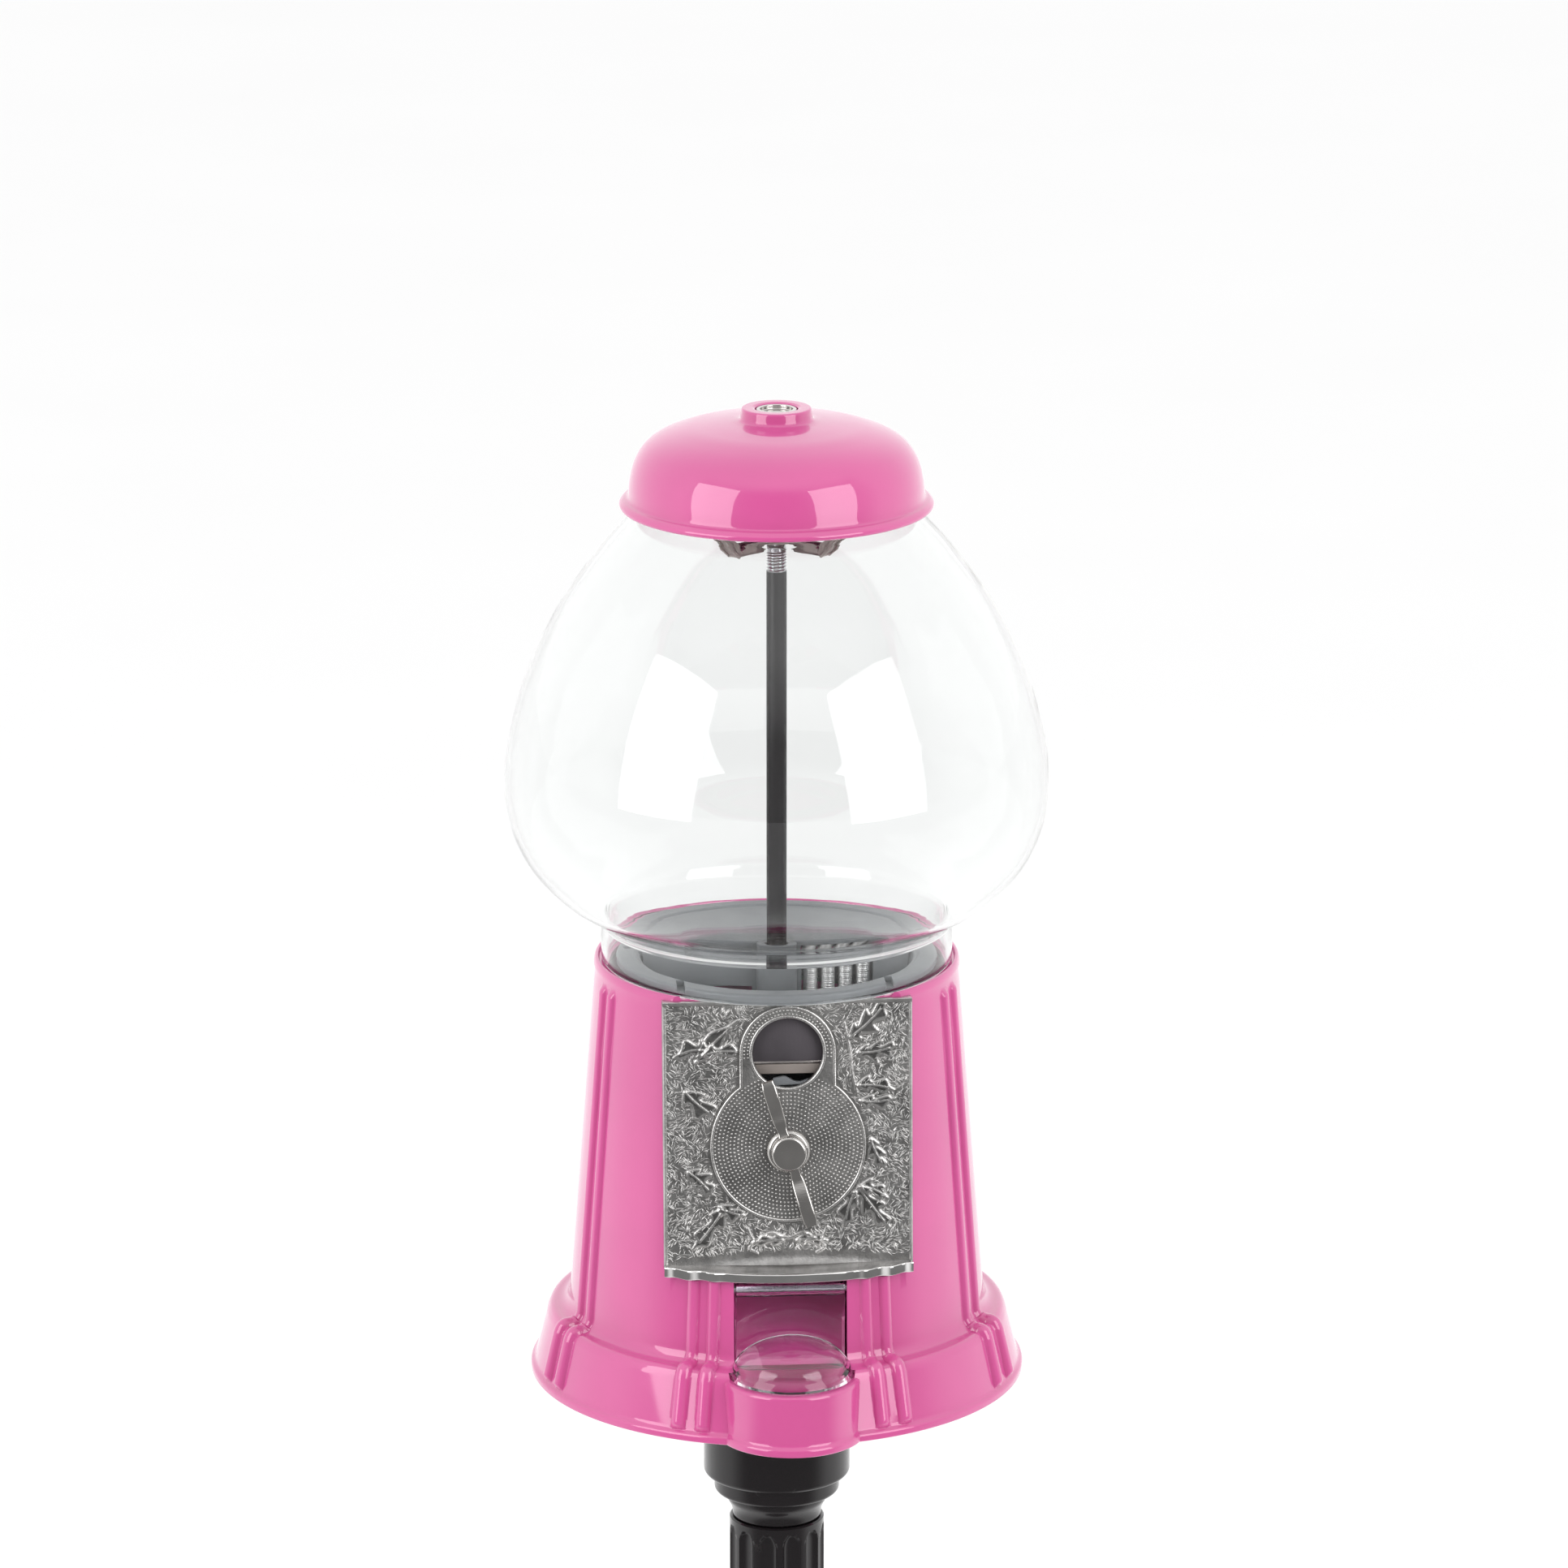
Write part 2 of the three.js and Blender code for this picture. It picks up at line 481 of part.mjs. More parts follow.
function hopperDish(seat) {
  const bottom = seat - DISH.depth;
  const r = DISH.bowlRadius;
  const bowl = turned([
    [DISH.rimRadius, seat], [DISH.rimRadius, seat + 2.4], [DISH.rimRadius - 0.6, seat + 3],
    [r - 0.6, seat + 3], [r - 2, seat + 2], [r - 3.6, seat - 10], [r - 8.4, bottom + 2.5],
    [40.2, bottom + 2.2], [40.2, bottom], [r - 7, bottom], [r - 2.6, seat - 13], [r - 0.8, seat - 9], [r, seat - 0.2],
  ], 28);
  const half = slab([...arc(r - 1.4, 0.08, Math.PI - 0.08, 12)], seat + 0.6, seat + 2.6);
  const wall = block([-52.5, 52.5], [3, 5.4], [seat - 11, seat + 2]).add(
    block([-46, 46], [3, 5.4], [bottom + 0.6, seat - 10]));
  const sleeve = ring(ROD.radius + 0.6, 8, bottom - 3, seat + 2.6);
  const lowWindow = block([-32, -10], [0, 8], [bottom + 3, bottom + 10]);
  const springWindow = block([10, 38], [0, 8], [bottom + 3, seat - 1.5]);
  let dish = joined([bowl, half, wall]).subtract(disc(6, bottom - 9, seat + 9)).add(sleeve)
    .subtract(lowWindow).subtract(springWindow);
  for (const side of [-1, 1]) {
    dish = dish.subtract(block([side * 40 - 1.5, side * 40 + 1.5], [-60, -40], [seat - 0.01, seat + 4]));
    dish = dish.subtract(solid(turnedGeometry([
      [0, seat - 5], [1.7, seat - 5], [1.7, seat + 5], [0, seat + 5],
    ]).translate(side * 58.6, 12, 0)));
  }
  return dish;
}

function globeShell(bottom) {
  const t = GLOBE.glass;
  const neck = GLOBE.neckRadius;
  const top = bottom + GLOBE.height;
  const outline = new THREE.SplineCurve([
    [neck - 0.4, 17], [74, 20.5], [87, 29], [99, 42], [105, 57], [106.5, 73],
    [104.2, 92], [97, 116], [85, 141], [70, 163], [58.5, 175.5], [53.8, 180.5],
  ].map(([r, z]) => new THREE.Vector2(r, z))).getPoints(9);
  const outer = outline.map((p) => [p.x, bottom + p.y]);
  const inner = outline.map((p, i) => {
    const [a, b] = [outline[Math.max(i - 1, 0)], outline[Math.min(i + 1, outline.length - 1)]];
    const along = new THREE.Vector2().subVectors(b, a).normalize();
    return [p.x - along.y * t, bottom + p.y + along.x * t];
  });
  const mouth = GLOBE.mouthRadius;
  return turned([
    [neck - 0.4, bottom], [neck, bottom + 1], [neck, bottom + 15], ...outer,
    [mouth, top - 4], [mouth + 0.6, top - 2], [mouth + 0.3, top - 0.3], [mouth - 0.6, top],
    [mouth - 1.8, top - 0.6], [mouth - t + 0.4, top - 4], ...inner.reverse().slice(1),
    [neck - t, bottom + 14], [neck - t, bottom + 0.6], [neck - t + 0.5, bottom],
  ], 26);
}

function spiderFrame() {
  const { ringRadius, ringInner, hubHeight, ringHeight } = SPIDER;
  const rim = turned([
    [ringInner, ringHeight], [ringRadius - 1.4, ringHeight], [ringRadius, ringHeight + 1.2],
    [ringRadius, ringHeight + 2.4], [ringInner, ringHeight + 2.4],
  ], 24);
  const hub = ring(ROD.radius + GAP, 9, hubHeight, hubHeight + 3);
  const drop = ringHeight - hubHeight;
  const lean = Math.atan((44 - 24) / drop);
  const leg = (angle) => solid(blockGeometry([-1.5, 1.5], [-3, 3], [0, drop / Math.cos(lean) + 0.6])
    .rotateY(lean).translate(24, 0, hubHeight + 0.6).rotateZ(angle + Math.PI / 4));
  const arm = (angle) => solid(blockGeometry([6, 26], [-2.4, 2.4], [hubHeight, hubHeight + 2.6])
    .rotateZ(angle + Math.PI / 4));
  const peg = (angle, radius, height) => solid(turnedGeometry(
    [[0, 0], [radius, 0], [radius, height], [0, height]], 10,
  ).translate(46 * Math.cos(angle), 46 * Math.sin(angle), ringHeight + 2));
  const cut = disc(7, hubHeight - 5, hubHeight + 20, 24);
  return joined([rim, ...turns(4, leg), ...turns(4, arm)]).subtract(cut).add(hub)
    .add(peg(3.5, 1.9, 3.6)).add(peg(0.75, 1.6, 3.6)).add(peg(-0.75, 2.6, 3.6));
}

function lidShell() {
  const { bottom, flangeRadius, domeRadius, height, wall } = LID;
  const z = (above) => bottom + above;
  return turned([
    [flangeRadius, bottom], [flangeRadius, z(2.2)], [flangeRadius - 1.4, z(3.2)],
    [domeRadius, z(4)], [55.8, z(16)], [50, z(25.5)], [44, z(29)], [35, z(31.8)],
    [15, z(33.8)], [13.65, z(34.6)], [13.65, z(height - 0.8)], [12.9, z(height)],
    [8.3, z(height)], [8.3, z(29)], [12, z(29)], [24, z(33.2 - wall)], [34, z(31.4 - wall)],
    [42.6, z(28.9 - wall)], [48, z(25.6 - wall)], [53.4, z(16)], [55.2, z(4)], [55.2, bottom],
  ], 24);
}

function buildStack(stack) {
  const washerTop = crownPitchZ - 1.4;
  part(stack, 'wheel_washer', ring(ROD.radius + GAP, 13, washerTop - 2, washerTop), zincSteel);
  part(stack, 'dispensing_wheel', dispensingWheel(), greyPlastic);
  part(stack, 'wing_plate', wingPlate(crownPitchZ + 6 + WHEEL.drumHeight + GAP), nickel);

  const seat = BODY.seat + GAP;
  part(stack, 'hopper_dish', hopperDish(seat), greyPlastic);
  const springTop = seat - 1.8;
  const springBottom = seat - DISH.depth + 3.3;
  turns(4, (_, i) => part(stack, `hopper_spring_${i + 1}`,
    disc(2.9, springBottom, springTop, 12), polishedMetal).position.set(13.6 + 6.9 * i, 4.2, 0));

  part(stack, 'globe', globeShell(seat), glass);
  part(stack, 'spider_ring', spiderFrame(), olivePlastic);
  part(stack, 'spider_washer', ring(ROD.radius + GAP, 8, SPIDER.hubHeight + 3.3, SPIDER.hubHeight + 4.5),
    zincSteel);
  part(stack, 'spider_nut', hexNut(13, ROD.radius + GAP, SPIDER.hubHeight + 4.8, SPIDER.hubHeight + 8.6),
    zincSteel);

  part(stack, 'lid', lidShell(), pinkEnamel);
  const insertTop = LID.bottom + LID.height - 0.6;
  part(stack, 'lid_insert', ring(ROD.tipRadius + GAP, 8, insertTop - 24, insertTop), polishedMetal);
}

// ---------------------------------------------------------------- assembly

const gumballMachine = new THREE.Group();

const stand = new THREE.Group();
buildStand(stand);
gumballMachine.add(stand);

const machine = new THREE.Group();
machine.position.z = STAND.height;
gumballMachine.add(machine);
buildBase(machine);
buildDoor(machine);
buildStack(machine);

const front = new THREE.Group();
front.position.set(0, axisY, HANDLE.height);
front.rotation.x = Math.PI / 2 - PLATE.tilt;
buildFront(front);
machine.add(front);

export default gumballMachine;
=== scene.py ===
"""Gumball machine on a fluted stand: the visible pieces, their finishes and the studio."""

import math

import bmesh
import bpy
import numpy as np
from mathutils import Matrix, Vector
from mathutils import noise


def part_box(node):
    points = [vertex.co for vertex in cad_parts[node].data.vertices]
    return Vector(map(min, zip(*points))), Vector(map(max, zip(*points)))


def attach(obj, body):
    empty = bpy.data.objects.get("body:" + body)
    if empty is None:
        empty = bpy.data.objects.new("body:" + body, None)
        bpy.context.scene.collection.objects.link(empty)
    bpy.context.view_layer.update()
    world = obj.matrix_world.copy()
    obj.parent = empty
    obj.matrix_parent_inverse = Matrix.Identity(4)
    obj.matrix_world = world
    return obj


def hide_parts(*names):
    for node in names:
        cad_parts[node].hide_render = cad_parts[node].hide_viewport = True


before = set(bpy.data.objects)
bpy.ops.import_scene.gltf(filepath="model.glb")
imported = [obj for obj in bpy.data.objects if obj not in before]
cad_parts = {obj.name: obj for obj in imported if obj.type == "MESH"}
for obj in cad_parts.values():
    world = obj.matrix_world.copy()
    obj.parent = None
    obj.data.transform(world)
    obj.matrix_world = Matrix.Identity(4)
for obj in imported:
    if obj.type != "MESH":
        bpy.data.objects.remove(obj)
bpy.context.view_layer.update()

bl_info = {
    "name": "Gumball machine",
    "version": (1, 0, 0),
    "blender": (4, 5, 0),
    "location": "View3D > Sidebar > Gumball",
    "description": "Builds a coin-operated gumball machine on its stand",
    "category": "Add Mesh",
}

# Every outline below is in millimetres over the underside of the machine's base.
MM = 0.001
FLOOR_TO_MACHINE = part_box("base_body")[0].z
SEAT = 169.0
PLATE_TILT = math.radians(4.8)
HANDLE_AXIS = 110.0
PLATE_FACE = -59.3 - (SEAT - HANDLE_AXIS) * math.tan(PLATE_TILT)
TO_MACHINE = Matrix.Translation((0, 0, FLOOR_TO_MACHINE)) @ Matrix.Scale(MM, 4)
TO_PLATE = (TO_MACHINE @ Matrix.Translation((0, PLATE_FACE, HANDLE_AXIS))
            @ Matrix.Rotation(math.pi / 2 - PLATE_TILT, 4, "X"))
TO_FLOOR = Matrix.Scale(MM, 4)


# ------------------------------------------------------------------ sizes and colours

class GUMBALL_PG_sizes(bpy.types.PropertyGroup):
    bead_height: bpy.props.FloatProperty(
        name="Bead height", description="How far the upright beads stand out of the wall, in mm",
        default=1.8, min=0.2, max=3.0)
    skirt_bead_height: bpy.props.FloatProperty(
        name="Skirt bead height", description="How far the beads stand out of the skirt, in mm",
        default=2.6, min=0.2, max=4.0)
    stipple_pitch: bpy.props.FloatProperty(
        name="Stipple pitch", description="Distance between the dots of the round panel, in mm",
        default=1.5, min=0.8, max=4.0)
    hatch_marks: bpy.props.IntProperty(
        name="Hatch marks", description="Short strokes chased into the coin plate's background",
        default=6000, min=0, max=9000)
    column_flutes: bpy.props.IntProperty(
        name="Column flutes", description="Flutes round the stand's column", default=12, min=6, max=24)
    spring_turns: bpy.props.IntProperty(
        name="Spring turns", description="Turns of each hopper spring", default=24, min=4, max=30)


class GUMBALL_PG_colours(bpy.types.PropertyGroup):
    enamel: bpy.props.FloatVectorProperty(
        name="Enamel", description="Colour of the base and lid", subtype="COLOR", size=3,
        min=0, max=1, default=(0.57, 0.075, 0.265))
    stand: bpy.props.FloatVectorProperty(
        name="Stand", description="Colour of the stand's enamel", subtype="COLOR", size=3,
        min=0, max=1, default=(0.012, 0.010, 0.011))
    wheel_plastic: bpy.props.FloatVectorProperty(
        name="Wheel plastic", description="Colour of the dish and wheel", subtype="COLOR", size=3,
        min=0, max=1, default=(0.150, 0.158, 0.168))
    spider_plastic: bpy.props.FloatVectorProperty(
        name="Spider plastic", description="Colour of the spider ring", subtype="COLOR", size=3,
        min=0, max=1, default=(0.240, 0.208, 0.190))
    # The pewter colour is scaled down for painted shade on smooth leaf faces and up for painted highlights on
    # ridges, rims, dots and strokes.
    pewter: bpy.props.FloatVectorProperty(
        name="Pewter", description="Colour of the coin plate's high spots", subtype="COLOR", size=3,
        min=0, max=1, default=(0.52, 0.51, 0.50))


class GUMBALL_PG_studio(bpy.types.PropertyGroup):
    distance: bpy.props.FloatProperty(
        name="Camera distance", description="From the machine to the camera", unit="LENGTH",
        default=3.0, min=0.5, max=20)
    elevation: bpy.props.FloatProperty(
        name="Camera elevation", description="Angle above level", subtype="ANGLE",
        default=math.radians(15.5))
    azimuth: bpy.props.FloatProperty(
        name="Camera azimuth", description="Angle round from the front", subtype="ANGLE",
        default=math.radians(-4.0))
    lens: bpy.props.FloatProperty(
        name="Lens", description="Focal length on a 36 mm sensor, in mm", default=176.1, min=20, max=400)


# ------------------------------------------------------------------ shader building

class Value:
    """A socket that adds Math nodes when it is used in arithmetic."""

    def __init__(self, maker, socket):
        self.maker = maker
        self.socket = socket

    def _math(self, operation, *others):
        return self.maker.node("ShaderNodeMath", {"operation": operation},
                               dict(enumerate((self, *others))))

    def __add__(self, other):
        return self._math("ADD", other)

    def __radd__(self, other):
        return self._math("ADD", other)

    def __sub__(self, other):
        return self._math("SUBTRACT", other)

    def __rsub__(self, other):
        return self.maker.node("ShaderNodeMath", {"operation": "SUBTRACT"}, {0: other, 1: self})

    def __mul__(self, other):
        return self._math("MULTIPLY", other)

    def over(self, low, high):
        """0 below low, 1 above high, and a smooth step between them."""
        return self.maker.node("ShaderNodeMapRange", {"interpolation_type": "SMOOTHSTEP"},
                               {"Value": self, "From Min": low, "From Max": high})


class Finish:
    """A material with one method that makes any node."""

    def __init__(self, name, **constants):
        self.material = bpy.data.materials.new(name)
        self.material.use_nodes = True
        self.tree = self.material.node_tree
        self.tree.nodes.clear()
        self.output = self.tree.nodes.new("ShaderNodeOutputMaterial")
        self.shader = self.tree.nodes.new("ShaderNodeBsdfPrincipled")
        self.tree.links.new(self.shader.outputs[0], self.output.inputs["Surface"])
        for socket, value in constants.items():
            self.shader.inputs[socket.replace("_", " ")].default_value = value

    def node(self, kind, settings=None, values=None, output=0):
        node = self.tree.nodes.new(kind)
        for name, setting in (settings or {}).items():
            setattr(node, name, setting)
        for name, value in (values or {}).items():
            socket = node.inputs[name]
            if isinstance(value, Value):
                self.tree.links.new(value.socket, socket)
            else:
                socket.default_value = value
        return Value(self, node.outputs[output])

    def place(self, scale=(1, 1, 1)):
        """Object coordinates, stretched by scale."""
        where = self.node("ShaderNodeTexCoord", output="Object")
        return self.node("ShaderNodeMapping", {}, {"Vector": where, "Scale": scale})

    def noise(self, scale, detail=2.0, roughness=0.5, stretch=(1, 1, 1)):
        return self.node("ShaderNodeTexNoise", {}, {
            "Vector": self.place(stretch), "Scale": scale, "Detail": detail, "Roughness": roughness})

    def cells(self, scale):
        return self.node("ShaderNodeTexVoronoi", {}, {"Vector": self.place(), "Scale": scale},
                         output="Distance")

    def stored(self, name):
        return self.node("ShaderNodeAttribute", {"attribute_name": name}, output="Fac")

    def mix(self, amount, first, second):
        node = self.tree.nodes.new("ShaderNodeMix")
        node.data_type = "RGBA"
        self.tree.links.new(amount.socket, node.inputs["Factor"])
        for index, colour in ((6, first), (7, second)):
            if isinstance(colour, Value):
                self.tree.links.new(colour.socket, node.inputs[index])
            else:
                node.inputs[index].default_value = (*colour, 1.0)
        return Value(self, node.outputs[2])

    def put(self, **links):
        for name, value in links.items():
            self.tree.links.new(value.socket, self.shader.inputs[name.replace("_", " ")])

    def let_lamps_through(self, tint):
        """Light passes to what is behind, without being bent."""
        shadow_ray = self.node("ShaderNodeLightPath", output="Is Shadow Ray")
        open_way = self.node("ShaderNodeBsdfTransparent", {}, {"Color": (*tint, 1.0)})
        whole = self.node("ShaderNodeMixShader", {}, {0: shadow_ray, 1: Value(self, self.shader.outputs[0]),
                                                      2: open_way})
        self.tree.links.new(whole.socket, self.output.inputs["Surface"])

    def bump(self, height, strength, distance):
        return self.node("ShaderNodeBump", {}, {
            "Height": height, "Strength": strength, "Distance": distance})


def shade_of(colour, factor):
    return tuple(min(1.0, c * factor) for c in colour)


FINISHES = {}


def finish(name):
    """The material of that name, made the first time it is asked for."""
    if name not in FINISHES:
        FINISHES[name] = FINISH_MAKERS[name]().material
    return FINISHES[name]


def enamel_finish():
    colour = tuple(bpy.context.scene.gumball_colours.enamel)
    made = Finish("pink_enamel", Coat_Weight=1.0, Coat_Roughness=0.04, Coat_IOR=1.65, Specular_IOR_Level=0.25)
    cloud = made.noise(18.0, 3.0)
    made.put(Base_Color=made.mix(cloud.over(0.3, 0.7), shade_of(colour, 0.965), shade_of(colour, 1.035)))
    smear = made.noise(45.0, 4.0, 0.6)
    made.put(Roughness=0.26 + smear * 0.12)
    peel = made.noise(420.0, 2.0)
    specks = made.cells(900.0).over(0.0, 0.06)
    made.put(Normal=made.bump(peel + specks * 0.05, 0.05, 0.0004))
    return made


def stand_finish():
    colour = tuple(bpy.context.scene.gumball_colours.stand)
    made = Finish("black_enamel", Coat_Weight=0.4, Coat_Roughness=0.06, Specular_IOR_Level=0.25)
    dust = made.noise(160.0, 5.0, 0.7).over(0.62, 0.78)
    made.put(Base_Color=made.mix(dust * 0.2, colour, (0.05, 0.045, 0.045)))
    made.put(Roughness=0.16 + made.noise(60.0, 3.0) * 0.14 + dust * 0.15)
    made.put(Normal=made.bump(made.noise(300.0, 3.0), 0.06, 0.0005))
    return made


def moulded_finish(name, colour, roughness=0.36):
    made = Finish(name, Specular_IOR_Level=0.45)
    flow = made.noise(22.0, 4.0, 0.6, (1, 1, 2.5))
    made.put(Base_Color=made.mix(flow.over(0.3, 0.72), shade_of(colour, 0.9), shade_of(colour, 1.1)))
    made.put(Roughness=roughness + made.noise(90.0, 4.0) * 0.16)
    grain = made.noise(700.0, 3.0) + made.noise(60.0, 2.0) * 0.6
    made.put(Normal=made.bump(grain, 0.1, 0.0004))
    return made


def wheel_plastic_finish():
    return moulded_finish("grey_plastic", tuple(bpy.context.scene.gumball_colours.wheel_plastic))


def spider_plastic_finish():
    return moulded_finish("olive_plastic", tuple(bpy.context.scene.gumball_colours.spider_plastic), 0.42)


def pewter_finish():
    colour = tuple(bpy.context.scene.gumball_colours.pewter)
    made = Finish("cast_pewter", Metallic=1.0)
    # Painted light: the stored value is low on smooth leaf faces as painted shade, and high on ridges, rims,
    # dots and strokes as painted highlight and rubbed metal.
    wear = made.stored("wear")
    blotch = made.noise(75.0, 5.0, 0.7)
    grain = made.noise(1100.0, 3.0, 0.7)
    tone = wear + (blotch - 0.5) * 0.3 + (grain - 0.5) * 0.12
    # The dark mix is painted shade at 0.2 to 0.34 of the pewter colour; the bright mix is painted highlight
    # and rubbed metal up to 1.35 of it.
    dark = made.mix(blotch.over(0.35, 0.65), shade_of(colour, 0.2), shade_of(colour, 0.34))
    lit_and_worn = made.mix(blotch.over(0.3, 0.7), shade_of(colour, 1.0), shade_of(colour, 1.35))
    made.put(Base_Color=made.mix(tone.over(0.05, 0.95), dark, lit_and_worn))
    made.put(Roughness=0.44 - wear * 0.16 + (grain - 0.5) * 0.2)
    made.put(Normal=made.bump(grain + made.noise(330.0, 4.0, 0.7) * 1.5, 0.22, 0.0006))
    return made


def bright_metal(name, colour, roughness, scratch=(1, 1, 12), strength=0.12):
    made = Finish(name, Metallic=1.0)
    lines = made.noise(260.0, 4.0, 0.6, scratch)
    stain = made.noise(50.0, 3.0)
    made.put(Base_Color=made.mix(stain.over(0.3, 0.7), shade_of(colour, 0.84), shade_of(colour, 1.08)))
    made.put(Roughness=roughness + (lines - 0.5) * 0.16 + (stain - 0.5) * 0.08)
    made.put(Normal=made.bump(lines, strength, 0.0003))
    return made


def rod_finish():
    """Black lacquer up to the threads, and chrome from there."""
    made = Finish("rod_lacquer", Specular_IOR_Level=0.2)
    height = made.node("ShaderNodeSeparateXYZ", {}, {"Vector": made.place()}, output="Z")
    threads = FLOOR_TO_MACHINE + 0.3252
    bare = height.over(threads - 0.0004, threads + 0.0004)
    lines = made.noise(260.0, 4.0, 0.6, (8, 8, 1))
    lacquer = made.mix(lines, (0.006, 0.005, 0.006), (0.012, 0.010, 0.011))
    chrome = made.mix(lines, (0.50, 0.50, 0.52), (0.62, 0.62, 0.63))
    made.put(Base_Color=made.mix(bare, lacquer, chrome), Metallic=bare)
    made.put(Roughness=0.2 - bare * 0.1 + lines * 0.06)
    made.put(Normal=made.bump(lines, 0.06, 0.0003))
    return made


def clear_plastic_finish():
    made = Finish("clear_plastic", Transmission_Weight=1.0, IOR=1.49)
    haze = made.noise(30.0, 4.0)
    made.put(Base_Color=made.mix(haze, (0.93, 0.90, 0.94), (0.97, 0.95, 0.98)))
    made.put(Roughness=0.02 + haze * 0.02)
    flecks = made.cells(420.0).over(0.0, 0.1)
    made.put(Normal=made.bump(flecks + haze, 0.03, 0.0005))
    made.let_lamps_through((0.96, 0.95, 0.96))
    return made


def globe_finish():
    made = Finish("globe_glass", Transmission_Weight=1.0, IOR=1.45)
    cord = made.noise(9.0, 2.0, 0.5, (1, 1, 3))
    made.put(Base_Color=made.mix(cord, (0.950, 0.958, 0.955), (0.972, 0.978, 0.975)))
    made.put(Roughness=0.0 + cord * 0.012)
    made.put(Normal=made.bump(cord, 0.05, 0.004))
    made.let_lamps_through((0.97, 0.98, 0.975))
    return made


def rubber_finish():
    made = Finish("foot_rubber")
    made.put(Base_Color=made.mix(made.noise(90.0, 4.0), (0.012, 0.012, 0.012), (0.03, 0.03, 0.03)))
    made.put(Roughness=0.7 + made.noise(200.0, 3.0) * 0.2)
    made.put(Normal=made.bump(made.noise(600.0, 3.0), 0.3, 0.0005))
    return made


FINISH_MAKERS = {
    "enamel": enamel_finish,
    "stand": stand_finish,
    "wheel_plastic": wheel_plastic_finish,
    "spider_plastic": spider_plastic_finish,
    "pewter": pewter_finish,
    "polished": lambda: bright_metal("polished_metal", (0.60, 0.58, 0.56), 0.16),
    "nickel": lambda: bright_metal("nickel_plate", (0.66, 0.60, 0.58), 0.36, (14, 1, 1)),
    "zinc": lambda: bright_metal("zinc_steel", (0.5, 0.5, 0.52), 0.28),
    "spring": lambda: bright_metal("spring_wire", (0.88, 0.88, 0.88), 0.4),
    "rod": rod_finish,
    "shield": lambda: bright_metal("shield_steel", (0.16, 0.145, 0.16), 0.5, (3, 1, 1)),
    "clear": clear_plastic_finish,
    "globe": globe_finish,
    "rubber": rubber_finish,
    "lip": lambda: bright_metal("pewter_lip", (0.72, 0.71, 0.70), 0.14, (1, 1, 1), 0.14),
}


# ------------------------------------------------------------------ mesh building

def mesh_piece(name, verts, faces, matrix=TO_MACHINE):
    mesh = bpy.data.meshes.new(name)
    mesh.from_pydata([tuple(matrix @ Vector(v)) for v in verts], [], faces)
    mesh.validate()
    piece = bpy.data.objects.new(name, mesh)
    bpy.context.scene.collection.objects.link(piece)
    return outward(piece)


def outward(piece):
    work = bmesh.new()
    work.from_mesh(piece.data)
    bmesh.ops.remove_doubles(work, verts=work.verts, dist=2e-6)
    bmesh.ops.recalc_face_normals(work, faces=work.faces)
    if work.calc_volume(signed=True) < 0:
        bmesh.ops.reverse_faces(work, faces=work.faces)
    work.to_mesh(piece.data)
    work.free()
    return piece


def rounded(corners, steps=4, closed=True):
    """Outline through (x, y, fillet) corners, each rounded, with a point beside it to hold its flats."""
    points = []
    count = len(corners)
    for i, (x, y, fillet) in enumerate(corners):
        here = Vector((x, y))
        ends = not closed and i in (0, count - 1)
        if fillet <= 0 or ends:
            points.append((x, y))
            continue
        before = Vector(corners[i - 1][:2]) - here
        after = Vector(corners[(i + 1) % count][:2]) - here
        a = here + before.normalized() * min(fillet, before.length * 0.48)
        b = here + after.normalized() * min(fillet, after.length * 0.48)
        held_a = here + before.normalized() * min(fillet * 1.3, before.length * 0.495)
        held_b = here + after.normalized() * min(fillet * 1.3, after.length * 0.495)
        points.append(tuple(held_a))
        for k in range(steps + 1):
            t = k / steps
            p = a * (1 - t) ** 2 + here * 2 * t * (1 - t) + b * t ** 2
            points.append((p.x, p.y))
        points.append(tuple(held_b))
    return points


def turned(name, profile, columns=96, matrix=TO_MACHINE, closed=True, angles=None, shift=None):
    """A shape turned about Z from (radius, height) points; shift(angle, i) moves a point outward."""
    angles = angles or [2 * math.pi * k / columns for k in range(columns)]
    verts, rows = [], []
    for i, (r, z) in enumerate(profile):
        if r < 1e-6:
            rows.append([len(verts)] * len(angles))
            verts.append((0, 0, z))
            continue
        row = []
        for angle in angles:
            dr, dz = shift(angle, i) if shift else (0, 0)
            row.append(len(verts))
            verts.append(((r + dr) * math.cos(angle), (r + dr) * math.sin(angle), z + dz))
        rows.append(row)
    faces = []
    count = len(rows)
    for i in range(count if closed else count - 1):
        lower, upper = rows[i], rows[(i + 1) % count]
        for k in range(len(angles)):
            n = (k + 1) % len(angles)
            face = []
            for index in (lower[k], lower[n], upper[n], upper[k]):
                if index not in face:
                    face.append(index)
            if len(face) > 2:
                faces.append(face)
    return mesh_piece(name, verts, faces, matrix)


def lofted(name, sections, matrix=TO_MACHINE):
    """A shape through equal closed outlines, one after another, with both ends closed."""
    size, count = len(sections[0]), len(sections)
    faces = []
    for i in range(count - 1):
        for k in range(size):
            n = (k + 1) % size
            faces.append((i * size + k, (i + 1) * size + k, (i + 1) * size + n, i * size + n))
    faces.append(tuple(range(size)))
    faces.append(tuple(reversed(range((count - 1) * size, count * size))))
    return mesh_piece(name, [corner for section in sections for corner in section], faces, matrix)


def block(name, xs, ys, zs, matrix=TO_MACHINE, bevel=0.0, segments=2):
    corners = [(x, y, z) for z in zs for y in ys for x in xs]
    faces = [(0, 2, 3, 1), (4, 5, 7, 6), (0, 1, 5, 4), (2, 6, 7, 3), (0, 4, 6, 2), (1, 3, 7, 5)]
    piece = mesh_piece(name, corners, faces, matrix)
    return bevelled(piece, bevel, segments) if bevel else piece


